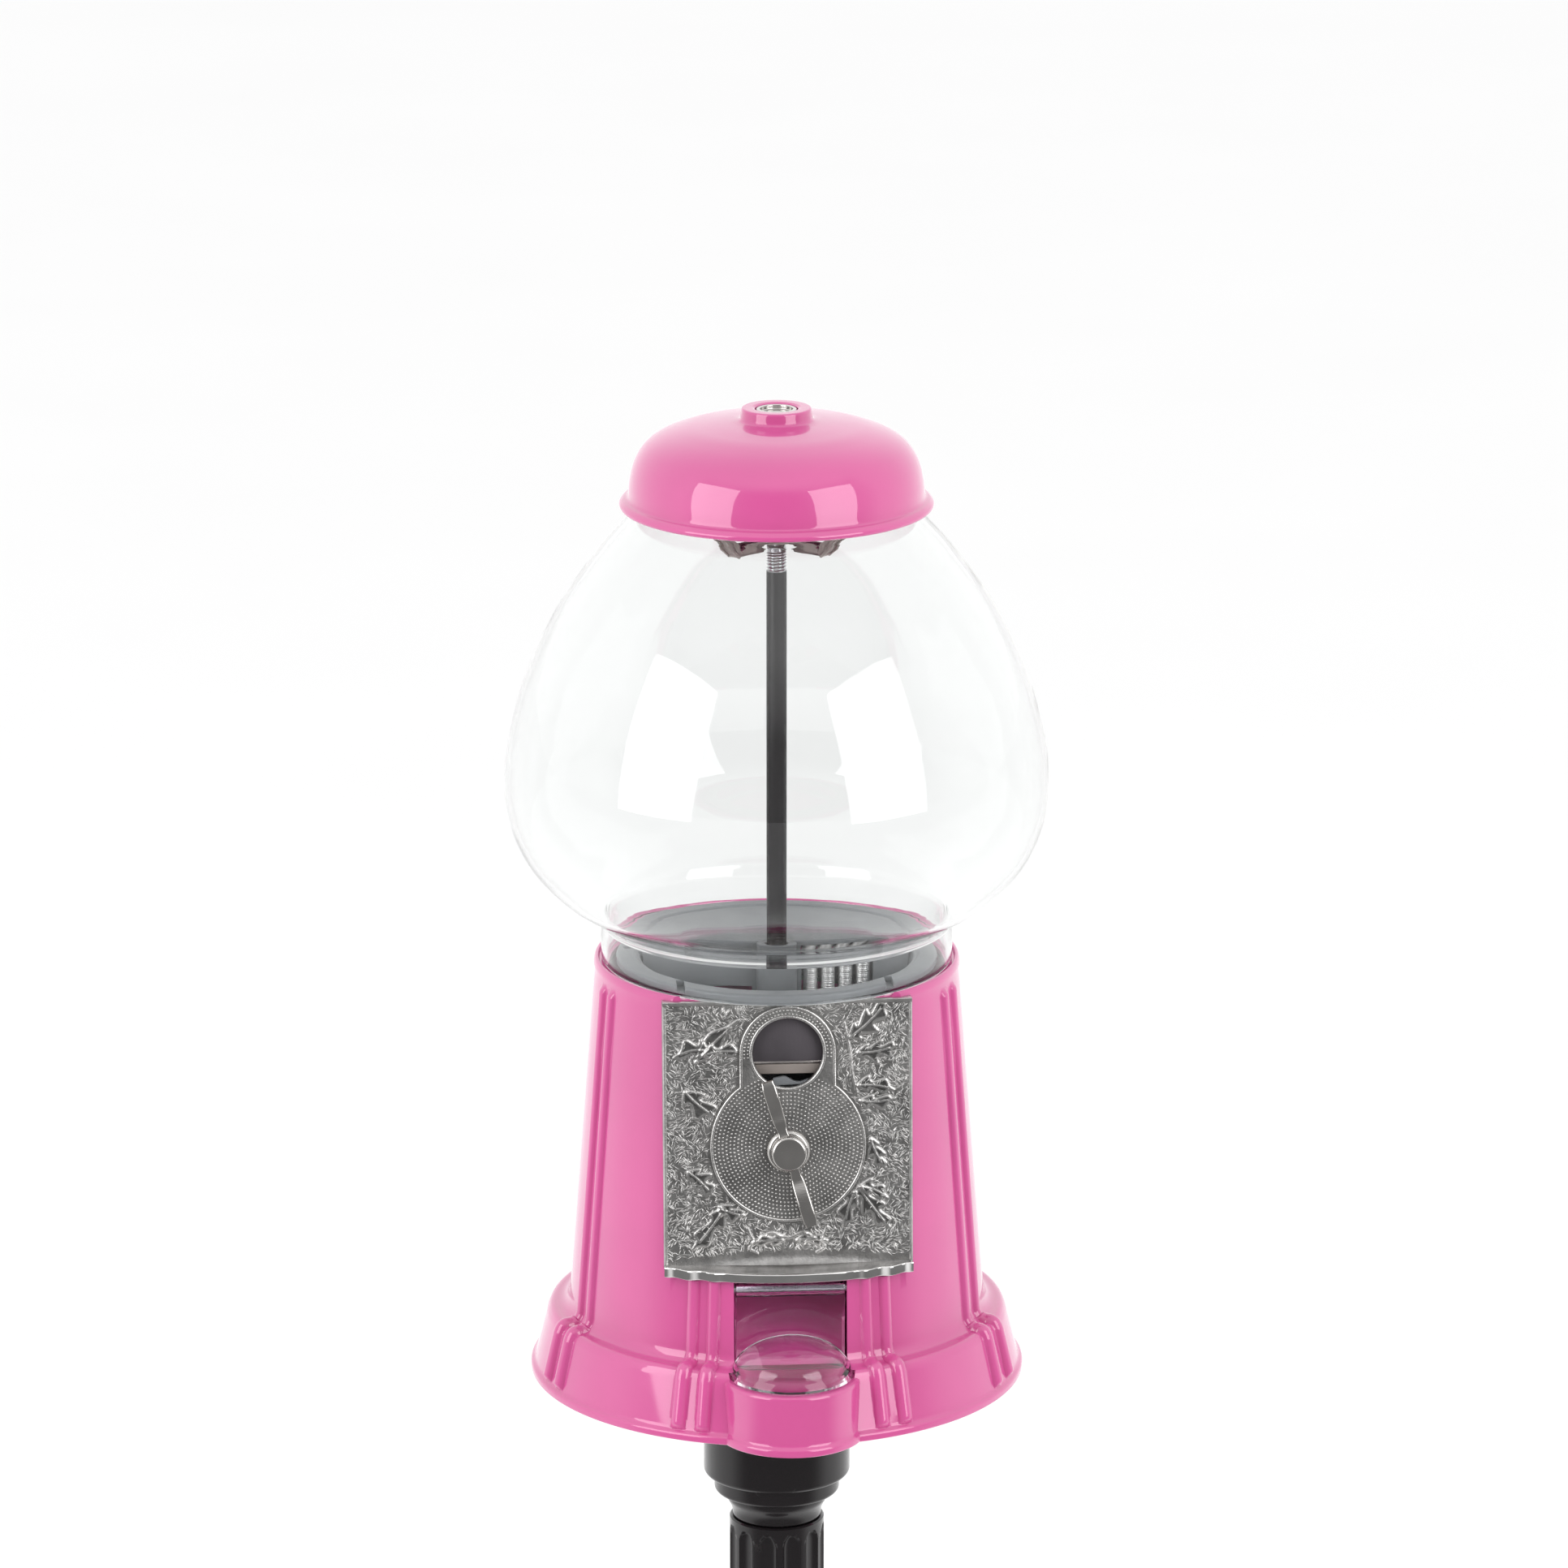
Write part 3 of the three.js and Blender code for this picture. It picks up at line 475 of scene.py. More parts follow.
def flat_piece(name, loops, low, high, matrix=TO_MACHINE, bevel=0.3, segments=2):
    """A plate cut to the first outline, with the other outlines as holes, and its edges rounded."""
    curve = bpy.data.curves.new(name, "CURVE")
    curve.dimensions = "2D"
    curve.fill_mode = "BOTH"
    for loop in loops:
        spline = curve.splines.new("POLY")
        spline.points.add(len(loop) - 1)
        for point, (x, y) in zip(spline.points, loop):
            point.co = (x, y, 0, 1)
        spline.use_cyclic_u = True
    curve.bevel_depth = bevel
    curve.bevel_resolution = segments
    curve.offset = -bevel
    curve.extrude = (high - low) / 2 - bevel
    holder = bpy.data.objects.new(name + "_curve", curve)
    bpy.context.scene.collection.objects.link(holder)
    bpy.context.view_layer.update()
    mesh = bpy.data.meshes.new_from_object(holder.evaluated_get(bpy.context.evaluated_depsgraph_get()))
    bpy.data.objects.remove(holder)
    mesh.transform(matrix @ Matrix.Translation((0, 0, (low + high) / 2)))
    piece = bpy.data.objects.new(name, mesh)
    mesh.name = name
    bpy.context.scene.collection.objects.link(piece)
    return outward(piece)


def settle(piece):
    """Turns a piece's modifiers into plain mesh."""
    bpy.context.view_layer.update()
    graph = bpy.context.evaluated_depsgraph_get()
    mesh = bpy.data.meshes.new_from_object(piece.evaluated_get(graph))
    piece.modifiers.clear()
    piece.data = mesh
    mesh.name = piece.name
    return piece


def bevelled(piece, width, segments=2, angle=35):
    edge = piece.modifiers.new("edges", "BEVEL")
    edge.width = width * MM
    edge.segments = segments
    edge.limit_method = "ANGLE"
    edge.angle_limit = math.radians(angle)
    return settle(piece)


def carved(piece, operation, *tools):
    """Joins tools to a piece, or cuts it with them, and drops the tools."""
    for tool in tools:
        cut = piece.modifiers.new("carve", "BOOLEAN")
        cut.operation = operation
        cut.solver = "EXACT"
        cut.object = tool
        settle(piece)
        bpy.data.objects.remove(tool)
    return piece


def joined(name, *pieces):
    """Several closed shapes as one piece, without cutting them against each other."""
    work = bmesh.new()
    for piece in pieces:
        work.from_mesh(piece.data)
        bpy.data.objects.remove(piece)
    mesh = bpy.data.meshes.new(name)
    work.to_mesh(mesh)
    work.free()
    piece = bpy.data.objects.new(name, mesh)
    bpy.context.scene.collection.objects.link(piece)
    return piece


def hand_over(piece, material, body, slot, *nodes, crease=32):
    """Gives a finished piece its material and its body, and hides the CAD nodes it stands for; the slot is
    not used.
    """
    piece.data.materials.clear()
    piece.data.materials.append(finish(material))
    for polygon in piece.data.polygons:
        polygon.use_smooth = True
    piece.data.set_sharp_from_angle(angle=math.radians(crease))
    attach(piece, body)
    if nodes:
        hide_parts(*nodes)
    return piece


def arc(radius, start, end, steps, centre=(0.0, 0.0)):
    return [(centre[0] + radius * math.cos(start + (end - start) * k / steps),
             centre[1] + radius * math.sin(start + (end - start) * k / steps))
            for k in range(steps + 1)]


def circle(radius, steps=48, centre=(0.0, 0.0)):
    return arc(radius, 0, 2 * math.pi, steps, centre)[:-1]


def about_z(angle):
    return TO_MACHINE @ Matrix.Rotation(angle, 4, "Z")


# ------------------------------------------------------------------ geometry nodes

class NodeTool:
    """A geometry node tree with named inputs, ended by Realize Instances and Set Material."""

    def __init__(self, name, inputs):
        self.tree = bpy.data.node_groups.new(name, "GeometryNodeTree")
        face = self.tree.interface
        face.new_socket("Geometry", in_out="OUTPUT", socket_type="NodeSocketGeometry")
        face.new_socket("Geometry", in_out="INPUT", socket_type="NodeSocketGeometry")
        for label, (kind, value) in inputs.items():
            socket = face.new_socket(label, in_out="INPUT", socket_type=kind)
            socket.default_value = value
        self.start = self.tree.nodes.new("NodeGroupInput")
        self.end = self.tree.nodes.new("NodeGroupOutput")

    def given(self, label):
        return self.start.outputs[label]

    def node(self, kind, settings=None, values=None, output=0):
        node = self.tree.nodes.new(kind)
        for name, setting in (settings or {}).items():
            setattr(node, name, setting)
        for name, value in (values or {}).items():
            if isinstance(value, bpy.types.NodeSocket):
                self.tree.links.new(value, node.inputs[name])
            else:
                node.inputs[name].default_value = value
        return node.outputs[output]

    def close(self, geometry, material):
        real = self.node("GeometryNodeRealizeInstances", {}, {0: geometry})
        dressed = self.node("GeometryNodeSetMaterial", {}, {"Geometry": real, "Material": material})
        self.tree.links.new(dressed, self.end.inputs[0])
        return self.tree


def grown(name, tree, values, seed_mesh=None):
    """Runs a geometry node tree with its inputs set by name, and keeps the result as a mesh."""
    mesh = seed_mesh or bpy.data.meshes.new(name)
    piece = bpy.data.objects.new(name, mesh)
    bpy.context.scene.collection.objects.link(piece)
    modifier = piece.modifiers.new("nodes", "NODES")
    modifier.node_group = tree
    names = {item.name: item.identifier for item in tree.interface.items_tree
             if item.item_type == "SOCKET" and item.in_out == "INPUT"}
    for label, value in values.items():
        modifier[names[label]] = value
    return settle(piece)


# ------------------------------------------------------------------ stand

class GUMBALL_OT_stand(bpy.types.Operator):
    """The round foot, the fluted column, its coupling and the stepped collar"""
    bl_idname = "gumball.stand"
    bl_label = "Stand"

    def execute(self, context):
        flutes = context.scene.gumball_sizes.column_flutes
        foot = turned("stand_base_casting", rounded([
            (5, 18, 0.5), (5, 54, 0.5), (24, 54, 1.2), (24.6, 48, 1.5), (23.2, 44, 2), (26.5, 38.5, 3),
            (42, 30, 8), (72, 22, 8), (84, 21.4, 1.5), (86, 19.6, 1.5), (112, 15.6, 3), (132, 11, 4),
            (139.6, 8.2, 2), (139.9, 3.6, 0.8), (132, 3.4, 0.6), (128, 7, 2), (22, 12, 2), (20, 18, 1),
        ], 4), 128, TO_FLOOR)
        hand_over(foot, "stand", "stand_and_base", "black_enamel", "stand_base")

        for name, low, high in (("lower", 54.3, 261.7), ("upper", 286.3, 494.7)):
            column = self.fluted(f"stand_column_{name}", low, high, flutes)
            hand_over(column, "stand", "stand_and_base", "black_enamel", f"stand_pole_{name}", crease=40)

        coupling = turned("stand_coupling", rounded([
            (12, 262, 0.4), (20.6, 262, 0.8), (21.2, 265.4, 0.8), (22.5, 266, 1.2), (22.5, 271, 1.2),
            (20.8, 272.4, 1), (20.8, 275.6, 1), (22.5, 277, 1.2), (22.5, 282, 1.2), (21.2, 282.6, 0.8),
            (20.6, 286, 0.8), (12, 286, 0.4),
        ]), 96, TO_FLOOR)
        hand_over(coupling, "stand", "stand_and_base", "black_enamel", "stand_pole_coupling")

        collar = turned("stand_collar", rounded([
            (12, -64, 0.4), (17.7, -64, 0.6), (17.9, -60.5, 3), (20.2, -56.6, 1.0), (20.6, -53.2, 0.3),
            (24.4, -53.1, 0.5), (25, -52.2, 0.5), (25, -45.7, 0.2), (28.5, -45.6, 0.5), (29.2, -44.6, 0.6),
            (29.2, -2, 1.2), (28, -0.4, 0.6), (4.4, -0.4, 0.3), (4.4, -4, 0.3), (12, -4, 0.5),
        ]), 96)
        hand_over(collar, "stand", "stand_and_base", "black_enamel", "stand_top_collar")
        return {"FINISHED"}

    def fluted(self, name, low, high, flutes):
        ends = 5.5
        heights = [low, low + 0.6]
        heights += [low + 3 + ends * k / 8 for k in range(9)]
        heights += [high - 3 - ends * (8 - k) / 8 for k in range(9)]
        heights += [high - 0.6, high]
        profile = [(12, low)] + [(18.9, z) for z in heights] + [(12, high)]

        def depth(angle, i):
            if i in (0, len(profile) - 1):
                return (0, 0)
            z = profile[i][1]
            edge = -0.6 if i in (1, len(profile) - 2) else 0
            to_end = min(z - low - 3, high - 3 - z)
            if to_end <= 0:
                return (edge, 0)
            across = abs(((angle * flutes / (2 * math.pi)) % 1) - 0.5) * 2
            reach = 0.74 * math.sqrt(max(0.0, 1 - (1 - min(1, to_end / ends)) ** 2))
            if across >= reach:
                return (edge, 0)
            return (edge - 2.0 * math.sqrt(1 - (across / reach) ** 2) * min(1, reach / 0.5), 0)

        return turned(name, profile, flutes * 20, TO_FLOOR, shift=depth)


class GUMBALL_OT_feet(bpy.types.Operator):
    """Four rubber feet under the stand"""
    bl_idname = "gumball.feet"
    bl_label = "Feet"

    def execute(self, context):
        pad = rounded([(0, 0.0, 0), (8.6, 0, 0.8), (9.9, 1.4, 0.8), (9.9, 3, 0.3), (0, 3, 0)], 3,
                      closed=False)
        for k in range(4):
            low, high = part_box(f"stand_foot_{k + 1}")
            centre = (low + high) / 2
            place = Matrix.Translation((centre.x, centre.y, 0)) @ TO_FLOOR
            foot = turned(f"foot_pad_{k + 1}", pad, 40, place, closed=False)
            hand_over(foot, "rubber", "stand_and_base", "rubber", f"stand_foot_{k + 1}")
        return {"FINISHED"}


# ------------------------------------------------------------------ base casting

def front_angle(degrees):
    """Angle about Z of a place that many degrees round from the front, positive towards +X."""
    return math.radians(degrees - 90)


WALL_FOOT, WALL_TOP, WALL_LOW, WALL_HIGH = 82.4, 71.8, 30.0, 165.0
BEAD_ANGLES = (-73.5, -67.0, -27.5, -21.5, 21.5, 27.5, 61.0, 68.5)
BODY_PROFILE = [
    (93, 0, 0.4), (98, 0, 0.8), (98, 2.8, 0.9), (96.2, 4.0, 0.9), (95.6, 6.4, 1.2), (91.2, 24.0, 1.0),
    (89.6, 26.8, 1.8), (84.9, 26.9, 2.4), (82.4, 30.0, 2.2), (71.8, 165, 3.0), (72.1, 168.4, 1.0),
    (71.4, 170.6, 1.5), (70.1, 170.7, 0.6), (69.9, 169, 0.3), (65.9, 169, 0.4), (65.9, 166.8, 0.4),
    (68.2, 163, 1.0), (78.8, 30, 2.5), (85.6, 22, 2.0), (90.4, 5, 1.0),
]


def wall_radius(height):
    """Radius of the base's outer wall at a height, above its skirt."""
    return WALL_FOOT + (WALL_TOP - WALL_FOOT) * (height - WALL_LOW) / (WALL_HIGH - WALL_LOW)


def in_plate(*corner):
    return TO_PLATE @ Vector(corner)


class GUMBALL_OT_base_body(bpy.types.Operator):
    """The enamelled base casting with its beads, skirt, coin plate seat, window and tray"""
    bl_idname = "gumball.base_body"
    bl_label = "Base casting"

    def execute(self, context):
        sizes = context.scene.gumball_sizes
        shell = self.shell(sizes)
        tray = self.tray()
        carved(tray, "DIFFERENCE", turned("tray_back", rounded(
            [(0, -2, 0), (88.5, -2, 0), (88.5, 6, 0), (0, 6, 0)], 1, closed=False), 96, closed=False))
        lugs = [block(f"lug_{k}", (60.8, 67), (-4, 4), (SEAT - 4, SEAT),
                      about_z(math.pi / 4 + k * math.pi / 2), 0.4) for k in range(4)]
        carved(shell, "UNION", tray, *lugs)
        carved(shell, "DIFFERENCE",
               block("seat_cut", (-70, 70), (-50.4, 90), (-2.6, 60), TO_PLATE),
               block("window_cut", (-22, 22), (-92, -60), (24, 80)),
               self.tray_hollow())
        shell.name = "base_casting"
        hand_over(shell, "enamel", "stand_and_base", "pink_enamel", "base_body", crease=38)
        return {"FINISHED"}

    def shell(self, sizes):
        profile = []
        for k, corner in enumerate(BODY_PROFILE):
            profile.append(corner)
            if k == 8:
                for step in range(1, 12):
                    height = WALL_LOW + (WALL_HIGH - WALL_LOW) * step / 12
                    profile.append((wall_radius(height), height, 0))
        profile = rounded(profile, 5)
        normals = []
        for i in range(len(profile)):
            a, b = Vector(profile[i - 1]), Vector(profile[(i + 1) % len(profile)])
            along = (b - a).normalized()
            normals.append(Vector((along.y, -along.x)))

        def bead(angle, i):
            r, z = profile[i]
            normal = normals[i]
            if z < 4.2 or z > 164.5 or normal.x < -0.2 or r < wall_radius(z) - 1.5:
                return (0, 0)
            on_skirt = z < 28
            height = sizes.skirt_bead_height if on_skirt else sizes.bead_height
            half_width = 3.1 if on_skirt else 2.5
            lift = 0.0
            for degrees in BEAD_ANGLES:
                if abs(degrees) < 50 and z > 66:
                    continue
                away = math.remainder(angle - front_angle(degrees), 2 * math.pi) * r
                if abs(away) < half_width:
                    lift = max(lift, (1 - (away / half_width) ** 2) ** 0.6)
            top = min(1.0, max(0.0, (164.5 - z) / 2.2)) ** 0.5
            foot = min(1.0, max(0.0, (z - 4.2) / 2.0)) ** 0.5
            amount = lift * height * top * foot
            return (normal.x * amount, normal.y * amount)

        angles = set()
        for k in range(144):
            angles.add(round(2 * math.pi * k / 144, 5))
        for degrees in BEAD_ANGLES:
            for k in range(-10, 11):
                angles.add(round((front_angle(degrees) + math.radians(k * 0.24)) % (2 * math.pi), 5))
        kept = []
        for angle in sorted(angles):
            if not kept or angle - kept[-1] > 0.0022:
                kept.append(angle)
        return turned("base_casting", profile, angles=kept, shift=bead)

    def tray(self):
        place = TO_MACHINE @ Matrix.Translation((0, -82, 0))
        return turned("tray_bump", rounded([
            (0, 0, 0), (28.8, 0, 0.8), (28.8, 2.8, 0.9), (27.4, 4.0, 0.9), (27.2, 6.4, 0.9),
            (26.8, 24, 1.6), (0, 24, 0)], 4, closed=False), 96, place, closed=False)

    def tray_hollow(self):
        place = TO_MACHINE @ Matrix.Translation((0, -82, 0))
        return turned("tray_hollow", rounded([
            (0, 12, 0), (22.6, 12, 4), (22.8, 23.9, 0.2), (24.9, 23.95, 0), (24.9, 26.6, 0),
            (21.2, 26.7, 0), (21.2, 58, 0), (0, 58, 0)], 4, closed=False), 96, place, closed=False)


class GUMBALL_OT_ramp(bpy.types.Operator):
    """The sloping tray that brings a gumball to the window"""
    bl_idname = "gumball.ramp"
    bl_label = "Chute ramp"

    def execute(self, context):
        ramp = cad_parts["chute_ramp"]
        ramp.data.materials.clear()
        ramp.data.materials.append(finish("enamel"))
        return {"FINISHED"}


# ------------------------------------------------------------------ chute door

class GUMBALL_OT_door(bpy.types.Operator):
    """The clear flap with its bubble and heavy rim, and the pin that it hangs on"""
    bl_idname = "gumball.door"
    bl_label = "Chute door"

    def execute(self, context):
        low = 24.35
        flap = block("door_flap", (-21.2, 21.2), (-78.0, -76.4), (low, 59.2), bevel=0.3)
        barrel = turned("door_barrel", rounded([
            (1.8, -21.2, 0.2), (3, -21.2, 0.5), (3, 21.2, 0.5), (1.8, 21.2, 0.2)]), 32,
            TO_MACHINE @ Matrix.Translation((0, -75, 57)) @ Matrix.Rotation(math.pi / 2, 4, "Y"))
        bubble = self.bubble(low)
        door = joined("clear_door", flap, barrel, bubble)
        hand_over(door, "clear", "chute_door", "clear_plastic", "chute_door", crease=40)
        pin = turned("door_hinge_pin", rounded([
            (0, -24, 0), (1.45, -24, 0.4), (1.45, 24, 0.4), (0, 24, 0)], 3, closed=False), 24,
            TO_MACHINE @ Matrix.Translation((0, -75, 57)) @ Matrix.Rotation(math.pi / 2, 4, "Y"),
            closed=False)
        hand_over(pin, "zinc", "stand_and_base", "plated_steel", "door_pin")
        return {"FINISHED"}

    def bubble(self, low):
        """Front part of a flattened dome, hollow, with a rounded rim along its lower edge."""
        centre, outer, flat, thick = -81.0, 23.4, 0.68, 1.5
        rows, columns = 20, 48
        verts, faces = [], []
        for shell in (0, 1):
            radius = outer - thick * shell
            for i in range(rows + 1):
                lift = math.pi / 2 * i / rows
                for k in range(columns + 1):
                    turn = math.pi + math.pi * k / columns
                    rim = 0.0
                    if shell == 0 and i < 4:
                        rim = 1.3 * math.cos(i / 4 * math.pi / 2)
                    reach = (radius + rim) * math.cos(lift)
                    y = centre + reach * math.sin(turn)
                    z = low + radius * flat * math.sin(lift)
                    verts.append((reach * math.cos(turn), min(y, -78.2), z))
        size = (rows + 1) * (columns + 1)

        def at(shell, i, k):
            return shell * size + i * (columns + 1) + k

        for i in range(rows):
            for k in range(columns):
                faces.append((at(0, i, k), at(0, i, k + 1), at(0, i + 1, k + 1), at(0, i + 1, k)))
                faces.append((at(1, i, k), at(1, i + 1, k), at(1, i + 1, k + 1), at(1, i, k + 1)))
        for k in range(columns):
            faces.append((at(0, 0, k), at(1, 0, k), at(1, 0, k + 1), at(0, 0, k + 1)))
        for i in range(rows):
            faces.append((at(0, i, 0), at(0, i + 1, 0), at(1, i + 1, 0), at(1, i, 0)))
            faces.append((at(0, i, columns), at(1, i, columns), at(1, i + 1, columns), at(0, i + 1, columns)))
        return mesh_piece("door_bubble", verts, faces)


# ------------------------------------------------------------------ coin plate

COIN_UP, COIN_HOLE, LOBE, PANEL, PANEL_UP = 38.6, 13.6, 18.4, 30.0, 1.8


def keyhole(grow=0.0):
    """Outline of the raised panel: a disc with an arched lobe above it."""
    big, small = PANEL + grow, LOBE + grow
    join = math.asin(small / big)
    return (arc(big, math.pi / 2 + join, 5 * math.pi / 2 - join, 72, (0, PANEL_UP))
            + arc(small, 0, math.pi, 36, (0, COIN_UP)))


class Ornament:
    """Height, and a value for rubbed metal with painted shade and highlights, of the plate's cast background,
    on arrays of plate millimetres.
    """

    def __init__(self, x, y):
        self.x, self.y = x, y
        self.height = np.zeros_like(x)
        self.wear = np.full_like(x, 0.5)
        for k, (a, b, c) in enumerate(((0.21, 0.13, 0.4), (-0.11, 0.27, 1.9), (0.33, -0.29, 3.1))):
            swell = np.sin(a * x + b * y + c) * np.cos(b * x - a * y + k)
            self.height += 0.05 * swell
            self.wear += 0.05 * swell

    def away(self, points, closed=False):
        """Distance to a drawn line, and whether each place is inside it."""
        x, y = self.x, self.y
        near = np.full_like(x, 1e9)
        inside = np.zeros(x.shape, bool)
        ends = points[1:] + points[:1] if closed else points[1:]
        for p, q in zip(points, ends):
            dx, dy = q.x - p.x, q.y - p.y
            t = np.clip(((x - p.x) * dx + (y - p.y) * dy) / (dx * dx + dy * dy + 1e-9), 0, 1)
            near = np.minimum(near, np.hypot(x - p.x - t * dx, y - p.y - t * dy))
            if closed and abs(dy) > 1e-9:
                crosses = ((p.y > y) != (q.y > y)) & (x < p.x + dx * (y - p.y) / dy)
                inside ^= crosses
        return near, inside

    def ridge(self, points, half, rise, closed=False):
        near, _ = self.away(points, closed)
        lift = np.clip(1 - (near / half) ** 2, 0, 1) ** 0.8
        self.height += rise * lift
        # Ridges get a high value: painted highlight along them, as well as rubbed metal.
        self.wear = np.maximum(self.wear, lift)

    def leaf(self, root, aim, length, width, bend=0.0, lobes=3):
        """A lobed leaf: a smooth plateau painted dark as shade, with edges and a midrib painted bright as
        highlight and rubbed metal.
        """
        direction = Vector((math.cos(math.radians(aim)), math.sin(math.radians(aim))))
        across = Vector((-direction.y, direction.x))
        root = Vector(root)

        def spine(t):
            return root + direction * length * t + across * bend * length * t * t

        outline = []
        steps = 16 * lobes
        for side in (1, -1):
            half = []
            for k in range(steps + 1):
                t = k / steps
                tooth = 0.5 - 0.5 * math.cos(2 * math.pi * (lobes * t ** 0.85 + (0.16 if side < 0 else 0)))
                reach = width * math.sin(math.pi * t ** 0.72) ** 0.8 * (0.34 + 0.66 * tooth ** 1.4)
                half.append(spine(t) + across * side * reach + direction * reach * 0.55 * tooth)
            outline += half if side > 0 else half[::-1]
        near, inside = self.away(outline, closed=True)
        level = np.where(inside, np.clip(near / 0.7, 0, 1), 0)
        self.height += 0.34 * level
        # The leaf face gets a low value: painted shade on its smooth face.
        self.wear = np.where(inside, self.wear * (1 - level) + 0.2 * level, self.wear)
        self.ridge(outline, 0.62, 0.42, closed=True)
        self.ridge([spine(0.02 + 0.8 * k / 8) for k in range(9)], 0.5, 0.34)

    def stem(self, *points):
        """A thin raised stalk through the points."""
        path = [Vector(p) for p in points]
        smooth = []
        for i in range(len(path) - 1):
            a, b = path[max(i - 1, 0)], path[min(i + 2, len(path) - 1)]
            for k in range(6):
                u = k / 6
                p, q = path[i], path[i + 1]
                smooth.append(0.5 * (2 * p + (q - a) * u + (2 * a - 5 * p + 4 * q - b) * u * u
                                     + (3 * p - a - 3 * q + b) * u ** 3))
        self.ridge(smooth + [path[-1]], 0.6, 0.45)

    def draw(self):
        self.leaf((-36, 35), 48, 24, 3.6, -0.06, 1)
        self.leaf((-31, 40), 165, 12, 4.6, 0.5, 2)
        self.leaf((-33, 38), 22, 15, 3.2, -0.35, 2)
        self.leaf((-40, 24), -52, 15, 5.5, 0.2, 2)
        self.leaf((24, 44), 34, 20, 4.8, 0.18, 3)
        self.leaf((27, 38), -4, 15, 4.6, 0.25, 3)
        self.stem((22, 50), (24, 40), (25, 30), (27, 22))
        self.leaf((27, 25), 6, 14, 3.6, -0.25, 2)
        self.leaf((28, 19), -14, 13, 3.2, 0.3, 2)
        self.leaf((32, 4), -76, 13, 3.4, 0.2, 3)
        self.leaf((-39, -8), -34, 13, 4.6, -0.2, 3)
        self.leaf((-25, -23), -122, 20, 4.4, -0.1, 2)
        self.leaf((-27, -22), -38, 10, 3.6, 0.3, 2)
        self.leaf((27, -15), -58, 21, 4.6, 0.08, 3)
        self.leaf((26, -17), -118, 14, 3.8, 0.2, 2)
        self.leaf((28, -15), -6, 11, 3.6, -0.35, 2)
        self.stem((-16, -31), (-13, -36), (-7, -33), (0, -35), (6, -33), (12, -36), (15, -31))
        self.leaf((-2, -36), 176, 12, 2.4, 0.12, 2)
        self.leaf((3, -36), 4, 12, 2.4, -0.12, 2)
        self.stem((-13, -36), (-15, -39), (-12, -41))
        self.stem((12, -36), (14, -39), (11, -41))

    def finish(self):
        """Flattens the drawing round the raised panel and along the edges."""
        x, y = self.x, self.y
        room = np.clip((panel_distance(x, y) - 0.2) / 1.0, 0, 1)
        edge = np.minimum(np.minimum(x + 48.5, 48.5 - x), 59.0 - y)
        self.height *= room * np.clip((edge - 0.9) / 1.0, 0, 1)
        border = np.clip(1 - ((edge - 0.75) / 0.6) ** 2, 0, 1) ** 0.6
        self.height = np.maximum(self.height, 0.42 * border)
        # The frame border gets a high value: painted highlight along the edge, as well as rubbed metal.
        self.wear = np.maximum(self.wear, 0.9 * border)
        self.height -= 0.7 * np.clip(1 - edge / 0.6, 0, 1) ** 2
        return self


def panel_distance(x, y):
    """How far outside the raised panel each place of the plate is."""
    disc_away = np.hypot(x, y - PANEL_UP) - PANEL
    lobe_away = np.where(y > COIN_UP, np.hypot(x, y - COIN_UP) - LOBE,
                         np.maximum(np.abs(x) - LOBE, PANEL_UP - y))
    return np.minimum(disc_away, lobe_away)


def shelf_share(x):
    """1 at the middle of the plate and 0 at its sides."""
    return 1 - (x / 48.5) ** 2


